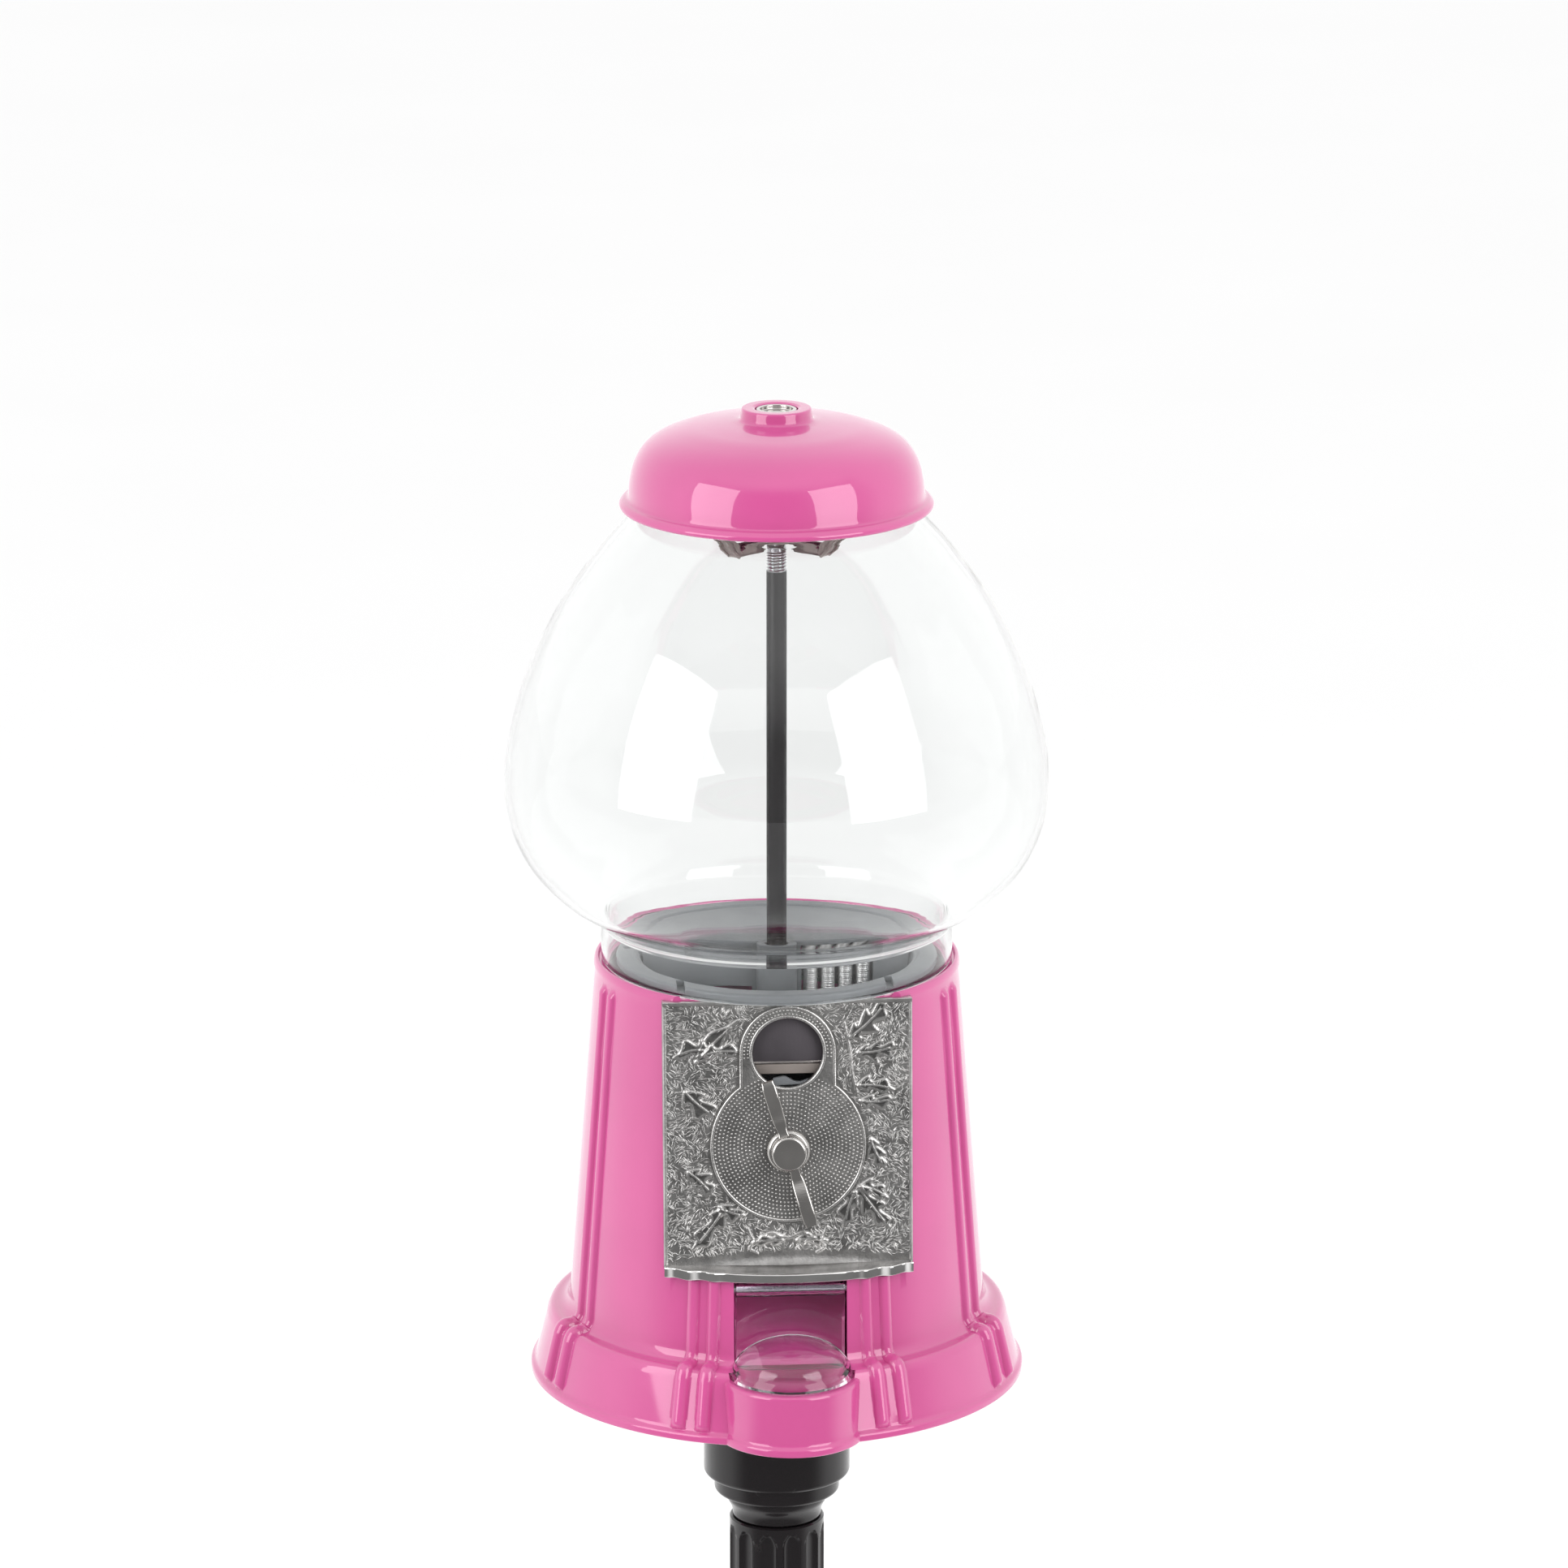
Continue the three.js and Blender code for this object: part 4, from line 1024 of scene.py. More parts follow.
class GUMBALL_OT_coin_plate(bpy.types.Operator):
    """The cast plate: chased background, leaves, raised keyhole panel, stipple and polished lip"""
    bl_idname = "gumball.coin_plate"
    bl_label = "Coin plate"

    def execute(self, context):
        sizes = context.scene.gumball_sizes
        plate = joined("cast_plate", self.sheet(), self.panel(), self.top_edge())
        hand_over(plate, "pewter", "stand_and_base", "pewter", "coin_plate", crease=50)
        hand_over(self.lip(), "lip", "stand_and_base", "pewter")
        hand_over(self.stipple(sizes.stipple_pitch), "pewter", "stand_and_base", "pewter")
        hand_over(self.hatch(sizes.hatch_marks), "pewter", "stand_and_base", "pewter")
        return {"FINISHED"}

    def sheet(self):
        half, low, high, step = 48.5, -47.0, 59.0, 0.37
        xs = np.linspace(-half, half, int(2 * half / step) + 1)
        ys = np.linspace(low, high, int((high - low) / step) + 1)
        x, y = np.meshgrid(xs, ys)
        cast = Ornament(x, y)
        cast.draw()
        cast.finish()
        flare = np.clip((low + 2.2 + 3.4 * shelf_share(x) - y) / 4.6, 0, 1)
        height = cast.height * (1 - np.clip(flare * 6, 0, 1)) + 2.6 * shelf_share(x) * flare ** 2
        wear = cast.wear * (1 - flare) + 0.45 * flare
        rows, columns = x.shape
        keep = panel_distance(x, y) > -1.6
        cell = keep[:-1, :-1] & keep[1:, :-1] & keep[:-1, 1:] & keep[1:, 1:]
        corner = (np.arange(rows - 1)[:, None] * columns + np.arange(columns - 1)[None, :])[cell]
        faces = np.stack([corner, corner + 1, corner + columns + 1, corner + columns], 1)
        used, faces = np.unique(faces, return_inverse=True)
        verts = np.stack([x.ravel(), y.ravel(), height.ravel()], 1)[used]
        mesh = bpy.data.meshes.new("plate_sheet")
        mesh.from_pydata(verts.tolist(), [], faces.reshape(-1, 4).tolist())
        # The stored value holds painted shade and painted highlights as well as rubbed metal.
        store = mesh.attributes.new("wear", "FLOAT", "POINT")
        store.data.foreach_set("value", wear.ravel()[used])
        piece = bpy.data.objects.new("plate_sheet", mesh)
        bpy.context.scene.collection.objects.link(piece)
        return self.backed(piece)

    def backed(self, piece, depth=-2.3):
        """Closes a sheet with side walls and a flat back, and sets it in place."""
        work = bmesh.new()
        work.from_mesh(piece.data)
        rim = [edge for edge in work.edges if edge.is_boundary]
        grown_out = bmesh.ops.extrude_edge_only(work, edges=rim)["geom"]
        for vertex in (v for v in grown_out if isinstance(v, bmesh.types.BMVert)):
            vertex.co.z = depth
        rim = [edge for edge in work.edges if edge.is_boundary]
        bmesh.ops.triangle_fill(work, edges=rim, use_beauty=True)
        work.transform(TO_PLATE)
        bmesh.ops.recalc_face_normals(work, faces=work.faces)
        if work.calc_volume(signed=True) < 0:
            bmesh.ops.reverse_faces(work, faces=work.faces)
        work.to_mesh(piece.data)
        work.free()
        return piece

    def lit_and_worn(self, piece, shade_and_wear_at):
        """Stores each point's value of rubbed metal and painted light, from its place in plate millimetres.
        """
        store = piece.data.attributes.new("wear", "FLOAT", "POINT")
        inverse = TO_PLATE.inverted()
        values = [shade_and_wear_at(inverse @ vertex.co) for vertex in piece.data.vertices]
        store.data.foreach_set("value", values)
        return piece

    def top_edge(self):
        """Flat top of the plate, deeper at its corners where it meets the rim."""
        outline = [(-48.3, -0.4), (48.3, -0.4)]
        outline += [(48.3 - 96.6 * k / 20, 2.2 + 5.0 * (1 - shelf_share(48.3 - 96.6 * k / 20)) ** 1.5)
                    for k in range(21)]
        place = TO_PLATE @ Matrix.Rotation(math.pi / 2, 4, "X") @ Matrix.Scale(-1, 4, (0, 1, 0))
        strip = flat_piece("plate_top", [outline], -59.2, -57.6, place, 0.25)
        # The top strip gets a fixed high value: painted highlight as well as rubbed metal.
        return self.lit_and_worn(strip, lambda p: 0.8)

    def panel(self):
        hole, axle = circle(COIN_HOLE, 64, (0, COIN_UP)), circle(5.2, 32)
        field = flat_piece("panel_field", [keyhole(), hole, axle], -2.0, 1.2, TO_PLATE, 0.35, 3)
        rim = self.rim(keyhole(-0.3), 0.62, 1.2)
        hole_rim = self.rim(circle(COIN_HOLE + 0.8, 64, (0, COIN_UP)), 0.6, 1.3)
        whole = joined("panel", field, rim, hole_rim)
        # The field gets a middle value and the rims rise towards 1 with height: painted highlight on the
        # raised rims, as well as rubbed metal.
        return self.lit_and_worn(whole, lambda p: 0.5 if p.z < 1.28 else min(1.0, 0.5 + (p.z - 1.28) * 2.2))

    def rim(self, loop, radius, height):
        """A round bead laid along a closed outline."""
        verts, faces = [], []
        sides, count = 8, len(loop)
        for i, (x, y) in enumerate(loop):
            along = (Vector(loop[(i + 1) % count]) - Vector(loop[i - 1])).normalized()
            out = Vector((along.y, -along.x))
            for side in range(sides):
                turn = 2 * math.pi * side / sides
                offset = out * radius * math.cos(turn)
                verts.append((x + offset.x, y + offset.y, height + radius * 0.75 * math.sin(turn)))
        for i in range(count):
            n = (i + 1) % count
            for side in range(sides):
                t = (side + 1) % sides
                faces.append((i * sides + side, n * sides + side, n * sides + t, i * sides + t))
        return mesh_piece("rim", verts, faces, TO_PLATE)

    def lip(self):
        """The polished shelf that spreads from the plate to the round wall, with a scalloped edge."""
        columns, front = 145, -82.4
        face = (TO_MACHINE.inverted() @ in_plate(0, -45.6, 0)).y
        section = rounded([(0, 65.6, 0), (0.12, 64.9, 0.3), (0.82, 64.5, 0.2), (0.9, 65.3, 0.4),
                           (1.0, 64.9, 0.5), (1.0, 61.3, 0.9), (0.9, 61.2, 0.2), (0.0, 61.2, 0)], 5)
        sections = []
        for i in range(columns):
            x = -48.5 + 97.0 * i / (columns - 1)
            share = shelf_share(x)
            near = max(0.0, min(1.0, (abs(x) - 20) / 12)) * max(0.0, min(1.0, (48.5 - abs(x)) / 3))
            wave = math.sin(abs(x) * 0.62 - 1.0) * near
            reach = face - 2.4 + (front - face + 2.4) * share - 0.7 * wave
            rise = 0.55 * wave - 0.2 * (1 - share)
            sections.append([(x, (face + 1.5) * (1 - t) + reach * t, z + rise * t * t) for t, z in section])
        return lofted("plate_lip", sections)

    def stipple(self, pitch):
        """Round dots over the panel, set out in rings, and two rows round the coin hole."""
        spots = []
        for row in range(5, int((PANEL - 1.4) / pitch) + 1):
            radius = row * pitch
            count = int(2 * math.pi * radius / pitch)
            for k in range(count):
                angle = 2 * math.pi * (k + 0.5 * (row % 2)) / count
                x, y = radius * math.cos(angle), PANEL_UP + radius * math.sin(angle)
                if math.hypot(x, y - COIN_UP) > COIN_HOLE + 1.8 and math.hypot(x, y) > 8.8:
                    spots.append((x, y))
        for row in (COIN_HOLE + 1.9, COIN_HOLE + 3.3):
            count = int(math.pi * row / 1.3)
            for k in range(count + 1):
                angle = -0.1 + (math.pi + 0.2) * k / count
                spots.append((row * math.cos(angle), COIN_UP + row * math.sin(angle)))
        points = bpy.data.meshes.new("panel_stipple")
        points.from_pydata([tuple(in_plate(x, y, 1.22)) for x, y in spots], [], [])
        tool = NodeTool("stipple", {
            "Dot radius": ("NodeSocketFloat", 0.0004), "Squash": ("NodeSocketFloat", 0.6)})
        dot = tool.node("GeometryNodeMeshIcoSphere", {}, {
            "Radius": tool.given("Dot radius"), "Subdivisions": 2})
        flat = tool.node("ShaderNodeCombineXYZ", {}, {"X": 1.0, "Y": 1.0, "Z": tool.given("Squash")})
        placed = tool.node("GeometryNodeInstanceOnPoints", {}, {
            "Points": tool.given("Geometry"), "Instance": dot, "Scale": flat,
            "Rotation": (math.pi / 2 - PLATE_TILT, 0, 0)})
        # Every dot gets the value 1.0: painted highlight on the dots, as well as rubbed metal.
        tree = tool.close(self.stored_shade_and_wear(tool, placed, 1.0), finish("pewter"))
        return grown("panel_stipple", tree, {"Dot radius": 0.00044, "Squash": 0.9}, points)

    # Stores one value of rubbed metal and painted light on every point of the instances.
    def stored_shade_and_wear(self, tool, instances, value):
        real = tool.node("GeometryNodeRealizeInstances", {}, {0: instances})
        stored = tool.node("GeometryNodeStoreNamedAttribute", {"data_type": "FLOAT", "domain": "POINT"},
                           {"Geometry": real, "Name": "wear"})
        for entry in stored.node.inputs:
            if entry.name == "Value" and entry.enabled:
                entry.default_value = value
        return stored

    def hatch(self, count):
        """Short strokes in every direction over the bare background."""
        random = np.random.default_rng(7)
        x, y = random.uniform(-47, 47, count * 2), random.uniform(-45, 58, count * 2)
        cast = Ornament(x, y)
        cast.draw()
        cast.finish()
        low = -47.0 + 3.6 + 3.4 * shelf_share(x)
        bare = (cast.wear < 0.66) & (cast.wear > 0.36) & (panel_distance(x, y) > 1.1) & (y > low)
        x, y, height = x[bare][:count], y[bare][:count], cast.height[bare][:count]
        patch = np.sin(np.floor(x / 3.1) * 12.9898 + np.floor(y / 2.7) * 78.233) * 43758.5
        turns = (patch - np.floor(patch)) * math.pi + random.normal(0, 0.28, len(x))
        points = bpy.data.meshes.new("plate_hatch")
        points.from_pydata([tuple(in_plate(a, b, c)) for a, b, c in zip(x, y, height)], [], [])
        store = points.attributes.new("turn", "FLOAT", "POINT")
        store.data.foreach_set("value", turns)
        tool = NodeTool("hatch", {
            "Stroke length": ("NodeSocketFloat", 0.0011), "Stroke width": ("NodeSocketFloat", 0.00016),
            "Seed": ("NodeSocketInt", 3)})
        stroke = tool.node("GeometryNodeMeshIcoSphere", {}, {"Radius": 1.0, "Subdivisions": 1})
        scale = tool.node("ShaderNodeCombineXYZ", {}, {
            "X": tool.given("Stroke length"), "Y": tool.given("Stroke width"),
            "Z": tool.given("Stroke width")})
        vary = tool.node("FunctionNodeRandomValue", {"data_type": "FLOAT"}, {"Seed": tool.given("Seed")},
                         output=1)
        for entry, value in zip([entry for entry in vary.node.inputs if entry.enabled], (0.5, 1.3)):
            entry.default_value = value
        sized = tool.node("ShaderNodeVectorMath", {"operation": "SCALE"}, {0: scale, "Scale": vary})
        turn = tool.node("GeometryNodeInputNamedAttribute", {"data_type": "FLOAT"}, {"Name": "turn"})
        spin = tool.node("ShaderNodeCombineXYZ", {}, {"Z": turn})
        tilt = tool.node("FunctionNodeEulerToRotation", {}, {0: (math.pi / 2 - PLATE_TILT, 0, 0)})
        local = tool.node("FunctionNodeEulerToRotation", {}, {0: spin})
        placed = tool.node("GeometryNodeInstanceOnPoints", {}, {
            "Points": tool.given("Geometry"), "Instance": stroke, "Scale": sized, "Rotation": tilt})
        turned_round = tool.node("GeometryNodeRotateInstances", {}, {
            "Instances": placed, "Rotation": local, "Local Space": True})
        # Every stroke gets the value 0.95: painted highlight on the strokes, as well as rubbed metal.
        tree = tool.close(self.stored_shade_and_wear(tool, turned_round, 0.95), finish("pewter"))
        return grown("plate_hatch", tree, {
            "Stroke length": 0.00125, "Stroke width": 0.00013, "Seed": 3}, points)


class GUMBALL_OT_coin_slot(bpy.types.Operator):
    """What shows in the coin hole: the dark shield, the bar and the catch"""
    bl_idname = "gumball.coin_slot"
    bl_label = "Coin slot"

    def execute(self, context):
        chord = math.asin(4 / 14.6)
        outline = [(x, y + COIN_UP) for x, y in arc(14.6, -chord, math.pi + chord, 48)]
        shield = flat_piece("shield_disc", [outline], -3.8, -2.65, TO_PLATE, 0.15)
        hand_over(shield, "shield", "stand_and_base", "dark_steel", "coin_shield")
        top = COIN_UP - 5.2
        bar = block("slot_bar", (-15.8, 15.8), (top - 3.8, top), (-5, -2.65), TO_PLATE, 0.3)
        hand_over(bar, "spider_plastic", "stand_and_base", "olive_plastic", "coin_bar")
        base = COIN_UP - 4
        tongue = flat_piece("slot_catch", [rounded([
            (-5.6, base - 9.2, 0.3), (6.4, base - 8.8, 0.3), (8.4, base - 6.8, 0.8), (5, base - 8, 0.9),
            (2.6, base - 7.6, 0.8), (-1, base - 5.6, 0.8), (-5.8, base - 6.4, 0.8)], 4)],
            -2.8, -0.6, TO_PLATE, 0.25)
        hand_over(tongue, "wheel_plastic", "stand_and_base", "grey_plastic", "coin_catch")
        return {"FINISHED"}


# ------------------------------------------------------------------ handle and mechanism

class GUMBALL_OT_handle(bpy.types.Operator):
    """The polished turn handle and the collar behind it"""
    bl_idname = "gumball.handle"
    bl_label = "Handle"

    def execute(self, context):
        place = TO_PLATE @ Matrix.Rotation(math.pi / 2 + math.radians(16.5), 4, "Z")
        strap = self.strap(place)
        hub = turned("hub", rounded([
            (0, 4.7, 0), (6.4, 4.7, 0.5), (7.1, 5.4, 0.6), (7.1, 7.4, 0.6), (6.2, 8.5, 0.8), (0, 8.5, 0),
        ], 4, closed=False), 56, TO_PLATE, closed=False)
        handle = joined("turn_handle", strap, hub)
        hand_over(handle, "polished", "handle", "polished_metal", "handle", crease=50)
        collar = turned("turn_collar", rounded([
            (4.3, 1.6, 0.2), (8.5, 1.6, 0.3), (8.5, 3.2, 0.5), (7.4, 4.3, 0.6), (4.3, 4.3, 0.2),
        ]), 56, TO_PLATE)
        hand_over(collar, "polished", "handle", "polished_metal", "handle_collar")
        return {"FINISHED"}

    def strap(self, place):
        reach, steps = 30.0, 60
        section = rounded([(-2.7, 0, 0.6), (2.7, 0, 0.6), (2.7, 1.9, 0.7), (-2.7, 1.9, 0.7)], 3)
        sections = []
        for i in range(steps + 1):
            s = -reach + 2 * reach * i / steps
            far = abs(s)
            lift = 6.3 - 1.7 * math.exp(-((far - 10) / 4.0) ** 2)
            lift += 2.2 * (1 - math.cos(math.pi * min(1, max(0, (far - 12) / 12)))) / 2
            lift -= 1.0 * max(0, (far - 25) / 5) ** 2
            wide = 1.0 - 0.28 * math.exp(-((far - 8.5) / 3.0) ** 2)
            if far > reach - 1.2:
                wide *= 0.9
            sections.append([(s, x * wide, lift - 1.0 + z) for x, z in section])
        return lofted("strap", sections, place)


class GUMBALL_OT_mechanism(bpy.types.Operator):
    """Shaft, carrier, pinion, frame, pawl and the small hardware behind the plate"""
    bl_idname = "gumball.mechanism"
    bl_label = "Mechanism"

    def execute(self, context):
        hidden = {
            "handle_shaft": "zinc", "coin_carrier": "zinc", "carrier_spacer": "zinc",
            "drive_pinion": "wheel_plastic", "shaft_nut": "zinc", "mechanism_frame": "zinc",
            "pawl": "zinc", "pawl_pin": "zinc", "pawl_spring": "zinc", "base_floor": "stand",
            "floor_screw_1": "zinc", "floor_screw_2": "zinc", "floor_screw_3": "zinc",
            "rod_washer_lower": "zinc", "rod_nut_lower": "zinc", "rod_coupler": "zinc",
            "stand_tie_rod": "zinc", "tie_rod_washer": "zinc", "tie_rod_nut": "zinc",
            "wheel_washer": "zinc", "spider_washer": "zinc", "spider_nut": "zinc",
        }
        for node, material in hidden.items():
            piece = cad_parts[node]
            piece.data.materials.clear()
            piece.data.materials.append(finish(material))
        return {"FINISHED"}


# ------------------------------------------------------------------ rod, wheel, dish

class GUMBALL_OT_rod(bpy.types.Operator):
    """The chromed centre rod with its thick and thin threads"""
    bl_idname = "gumball.rod"
    bl_label = "Centre rod"

    def execute(self, context):
        columns = 28
        heights = [-20.0, -19.4, 325.0]
        pitch = {"thick": 1.25, "thin": 0.8}
        z = 325.4
        while z < 345.6:
            heights.append(z)
            z += pitch["thick"] / 6
        heights += [346.2, 349.0]
        z = 349.2
        while z < 374.2:
            heights.append(z)
            z += pitch["thin"] / 6
        heights.append(375.0)

        def radius(height):
            if height <= 325:
                return 3.4 if height < -19.6 else 3.98
            if height < 345.8:
                return 3.98
            if height < 349.1:
                return 2.1
            return 2.5 if height < 374.4 else 1.9

        profile = [(0, heights[0])] + [(radius(h), h) for h in heights] + [(0, heights[-1])]

        def thread(angle, i):
            height = profile[i][1]
            if 325.3 < height < 345.7:
                turn = (height / pitch["thick"] - angle / (2 * math.pi)) % 1
                return (-0.62 * abs(turn - 0.5) * 2, 0)
            if 349.1 < height < 374.3:
                turn = (height / pitch["thin"] - angle / (2 * math.pi)) % 1
                return (-0.42 * abs(turn - 0.5) * 2, 0)
            return (0, 0)

        rod = turned("threaded_rod", profile, columns, closed=False, shift=thread)
        hand_over(rod, "rod", "stand_and_base", "plated_steel", "center_rod", crease=50)
        return {"FINISHED"}


WHEEL_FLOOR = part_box("dispensing_wheel")[0].z / MM - FLOOR_TO_MACHINE / MM + 5.6


class GUMBALL_OT_wheel(bpy.types.Operator):
    """The moulded dispensing wheel: toothed flange, pockets, ring wall and hub"""
    bl_idname = "gumball.wheel"
    bl_label = "Dispensing wheel"

    def execute(self, context):
        low = WHEEL_FLOOR
        pockets = []
        for k in range(3):
            middle = math.radians(120 * k - 30)
            start, end = middle - math.pi / 6 + 0.02, middle + math.pi / 6 - 0.02
            pockets.append(arc(39.5, start, end, 16) + arc(14, end, start, 8))
        flange = flat_piece("wheel_flange", [circle(51.4, 144), *pockets, circle(4.35, 32)],
                            low, low + 3, TO_MACHINE, 0.4)
        drum = flat_piece("wheel_drum", [circle(43.5, 144), *pockets, circle(4.35, 32)],
                          low + 2.8, low + 8.4, TO_MACHINE, 0.3)
        wall = self.ring_wall(low + 8.3)
        hub = turned("wheel_hub", rounded([
            (4.35, low - 4, 0.3), (8.8, low - 4, 0.5), (8.8, low + 11, 0.8), (7.2, low + 11, 0.3),
            (7, low + 9.6, 0.3), (4.35, low + 9.6, 0.3)]), 48)
        teeth = self.teeth(low)
        wheel = joined("geared_wheel", flange, drum, wall, hub, teeth)
        hand_over(wheel, "wheel_plastic", "dispensing_wheel", "grey_plastic", "dispensing_wheel")
        return {"FINISHED"}

    def ring_wall(self, low):
        """Low wall round the drum, with a ring of fine ticks inside its top edge."""
        profile = rounded([(41.3, low, 0.2), (43.5, low, 0.2), (43.5, low + 1.7, 0.5), (42.4, low + 1.7, 0.2),
                           (41.3, low + 1.2, 0.2)])

        def tick(angle, i):
            r, z = profile[i]
            inner = r < 42.3 and z > low + 0.6
            return (0, -0.7) if inner and math.sin(angle * 90) > 0.1 else (0, 0)

        return turned("wheel_wall", profile, 540, shift=tick)

    def teeth(self, low):
        tool = NodeTool("wheel_teeth", {
            "Teeth": ("NodeSocketInt", 30), "Pitch radius": ("NodeSocketFloat", 0.048)})
        tooth = bpy.data.objects.new("tooth_pattern", self.tooth_mesh())
        bpy.context.scene.collection.objects.link(tooth)
        circle_points = tool.node("GeometryNodeMeshCircle", {"fill_type": "NONE"}, {
            "Vertices": tool.given("Teeth"), "Radius": tool.given("Pitch radius")})
        index = tool.node("GeometryNodeInputIndex")
        step = tool.node("ShaderNodeMath", {"operation": "DIVIDE"}, {0: 2 * math.pi, 1: tool.given("Teeth")})
        angle = tool.node("ShaderNodeMath", {"operation": "MULTIPLY"}, {0: index, 1: step})
        turn = tool.node("ShaderNodeCombineXYZ", {}, {"Z": angle})
        shape = tool.node("GeometryNodeObjectInfo", {}, {"Object": tooth}, output="Geometry")
        placed = tool.node("GeometryNodeInstanceOnPoints", {}, {
            "Points": circle_points, "Instance": shape, "Rotation": turn})
        tree = tool.close(placed, finish("wheel_plastic"))
        teeth = grown("wheel_teeth", tree, {"Teeth": 30, "Pitch radius": 0.048})
        bpy.data.objects.remove(tooth)
        rise = Matrix.Translation((0, 0, FLOOR_TO_MACHINE + low * MM))
        teeth.data.transform(rise @ Matrix.Rotation(-math.pi / 2, 4, "Z"))
        return teeth

    def tooth_mesh(self):
        outline = rounded([(-2.1, 0.3, 0), (-1.9, -3.4, 1), (-1.1, -5.6, 0.9), (1.1, -5.6, 0.9),
                           (1.9, -3.4, 1), (2.1, 0.3, 0)], 3)
        count = len(outline)
        verts = [(x, y, z) for x in (-3.5, 3.4) for y, z in outline]
        faces = [tuple(range(count)), tuple(reversed(range(count, 2 * count)))]
        faces += [(k, k + count, (k + 1) % count + count, (k + 1) % count) for k in range(count)]
        mesh = bpy.data.meshes.new("tooth")
        mesh.from_pydata([tuple(Vector(v) * MM) for v in verts], [], faces)
        return mesh


class GUMBALL_OT_wing_plate(bpy.types.Operator):
    """The three-winged nickel plate on the wheel, with its pressed bumps"""
    bl_idname = "gumball.wing_plate"
    bl_label = "Wing plate"

    def execute(self, context):
        low = WHEEL_FLOOR + 8.7
        outline = []
        for k in range(3):
            middle = math.radians(120 * k + 30)
            outline += arc(40.4, middle - math.pi / 6, middle + math.pi / 6, 16)
            outline += arc(14.5, middle + math.pi / 6 + 0.05, middle + math.pi / 2 - 0.05, 8)
        plate = flat_piece("wing_sheet", [outline, circle(9.4, 48)], low, low + 1, TO_MACHINE, 0.2)
        bumps = []
        for k in range(3):
            middle = math.radians(120 * k + 30)
            spot = (20 * math.cos(middle), 20 * math.sin(middle), low + 0.9)
            place = TO_MACHINE @ Matrix.Translation(spot) @ Matrix.Rotation(middle, 4, "Z")
            bumps.append(turned(f"bump_{k}", [(0, 0), (3, 0), (1.6, 0.9), (0.4, 1.2), (0, 1.2)], 4, place,
                                closed=False))
        whole = joined("winged_plate", plate, *bumps)
        hand_over(whole, "nickel", "dispensing_wheel", "nickel_plate", "wing_plate")
        return {"FINISHED"}


class GUMBALL_OT_dish(bpy.types.Operator):
    """The hopper dish: bowl, covered half, dividing wall with its windows, and sleeve"""
    bl_idname = "gumball.dish"
    bl_label = "Hopper dish"

    def execute(self, context):
        seat = SEAT + 0.3
        bottom = seat - 21
        bowl = turned("dish_bowl", rounded([
            (63, seat, 0.4), (63, seat + 2.6, 0.8), (61.6, seat + 3, 0.4), (56, seat + 3, 0.5),
            (55, seat + 2, 0.5), (53.6, seat + 1.6, 0.6), (51.8, seat - 9, 3), (47, bottom + 2.6, 4),
            (40.4, bottom + 2.2, 0.5), (40.4, bottom, 0.5), (47.6, bottom, 4), (53, seat - 12, 3),
            (54.4, seat - 7, 0.6), (55.2, seat - 6, 0.6), (55.4, seat - 0.2, 0.4)]), 144)
        half = flat_piece("dish_cover", [arc(54.2, 0.075, math.pi - 0.075, 64)], seat + 0.6, seat + 2.6)
        wall = flat_piece("dish_wall", [
            [(-52.6, seat + 2), (-52.0, seat - 6), (-47.5, bottom + 5), (-44, bottom + 1), (44, bottom + 1),
             (47.5, bottom + 5), (52.0, seat - 6), (52.6, seat + 2)],
            [(-32, bottom + 2.6), (-9.4, bottom + 2.6), (-9.4, bottom + 8), (-32, bottom + 8)],
            [(10, bottom + 2.6), (38.2, bottom + 2.6), (38.2, seat - 1.6), (10, seat - 1.6)]],
            -5.4, -3.0, TO_MACHINE @ Matrix.Rotation(math.pi / 2, 4, "X"), 0.3)
        sleeve = turned("dish_sleeve", rounded([
            (4.7, bottom - 3, 0.4), (7.2, bottom - 3, 0.6), (8, bottom + 1, 0.6), (8, seat + 2.5, 0.5),
            (4.7, seat + 2.5, 0.5)]), 56)
        carved(half, "DIFFERENCE", turned("sleeve_cut", [(0, 100), (7.4, 100), (7.4, 200), (0, 200)], 48,
                                          closed=False))
        carved(wall, "DIFFERENCE", turned("sleeve_cut", [(0, 100), (7.4, 100), (7.4, 200), (0, 200)], 48,
                                          closed=False))
        for side in (-1, 1):
            notch = block("rim_notch", (side * 40 - 1.5, side * 40 + 1.5), (-62, -40), (seat + 0.8, seat + 5))
            hole = turned("rim_hole", [(0, 160), (1.8, 160), (1.8, 180), (0, 180)], 24,
                          TO_MACHINE @ Matrix.Translation((side * 58.4, 8, 0)), closed=False)
            carved(bowl, "DIFFERENCE", notch, hole)
        dish = joined("moulded_dish", bowl, half, wall, sleeve)
        hand_over(dish, "wheel_plastic", "hopper_dish", "grey_plastic", "hopper_dish")
        return {"FINISHED"}


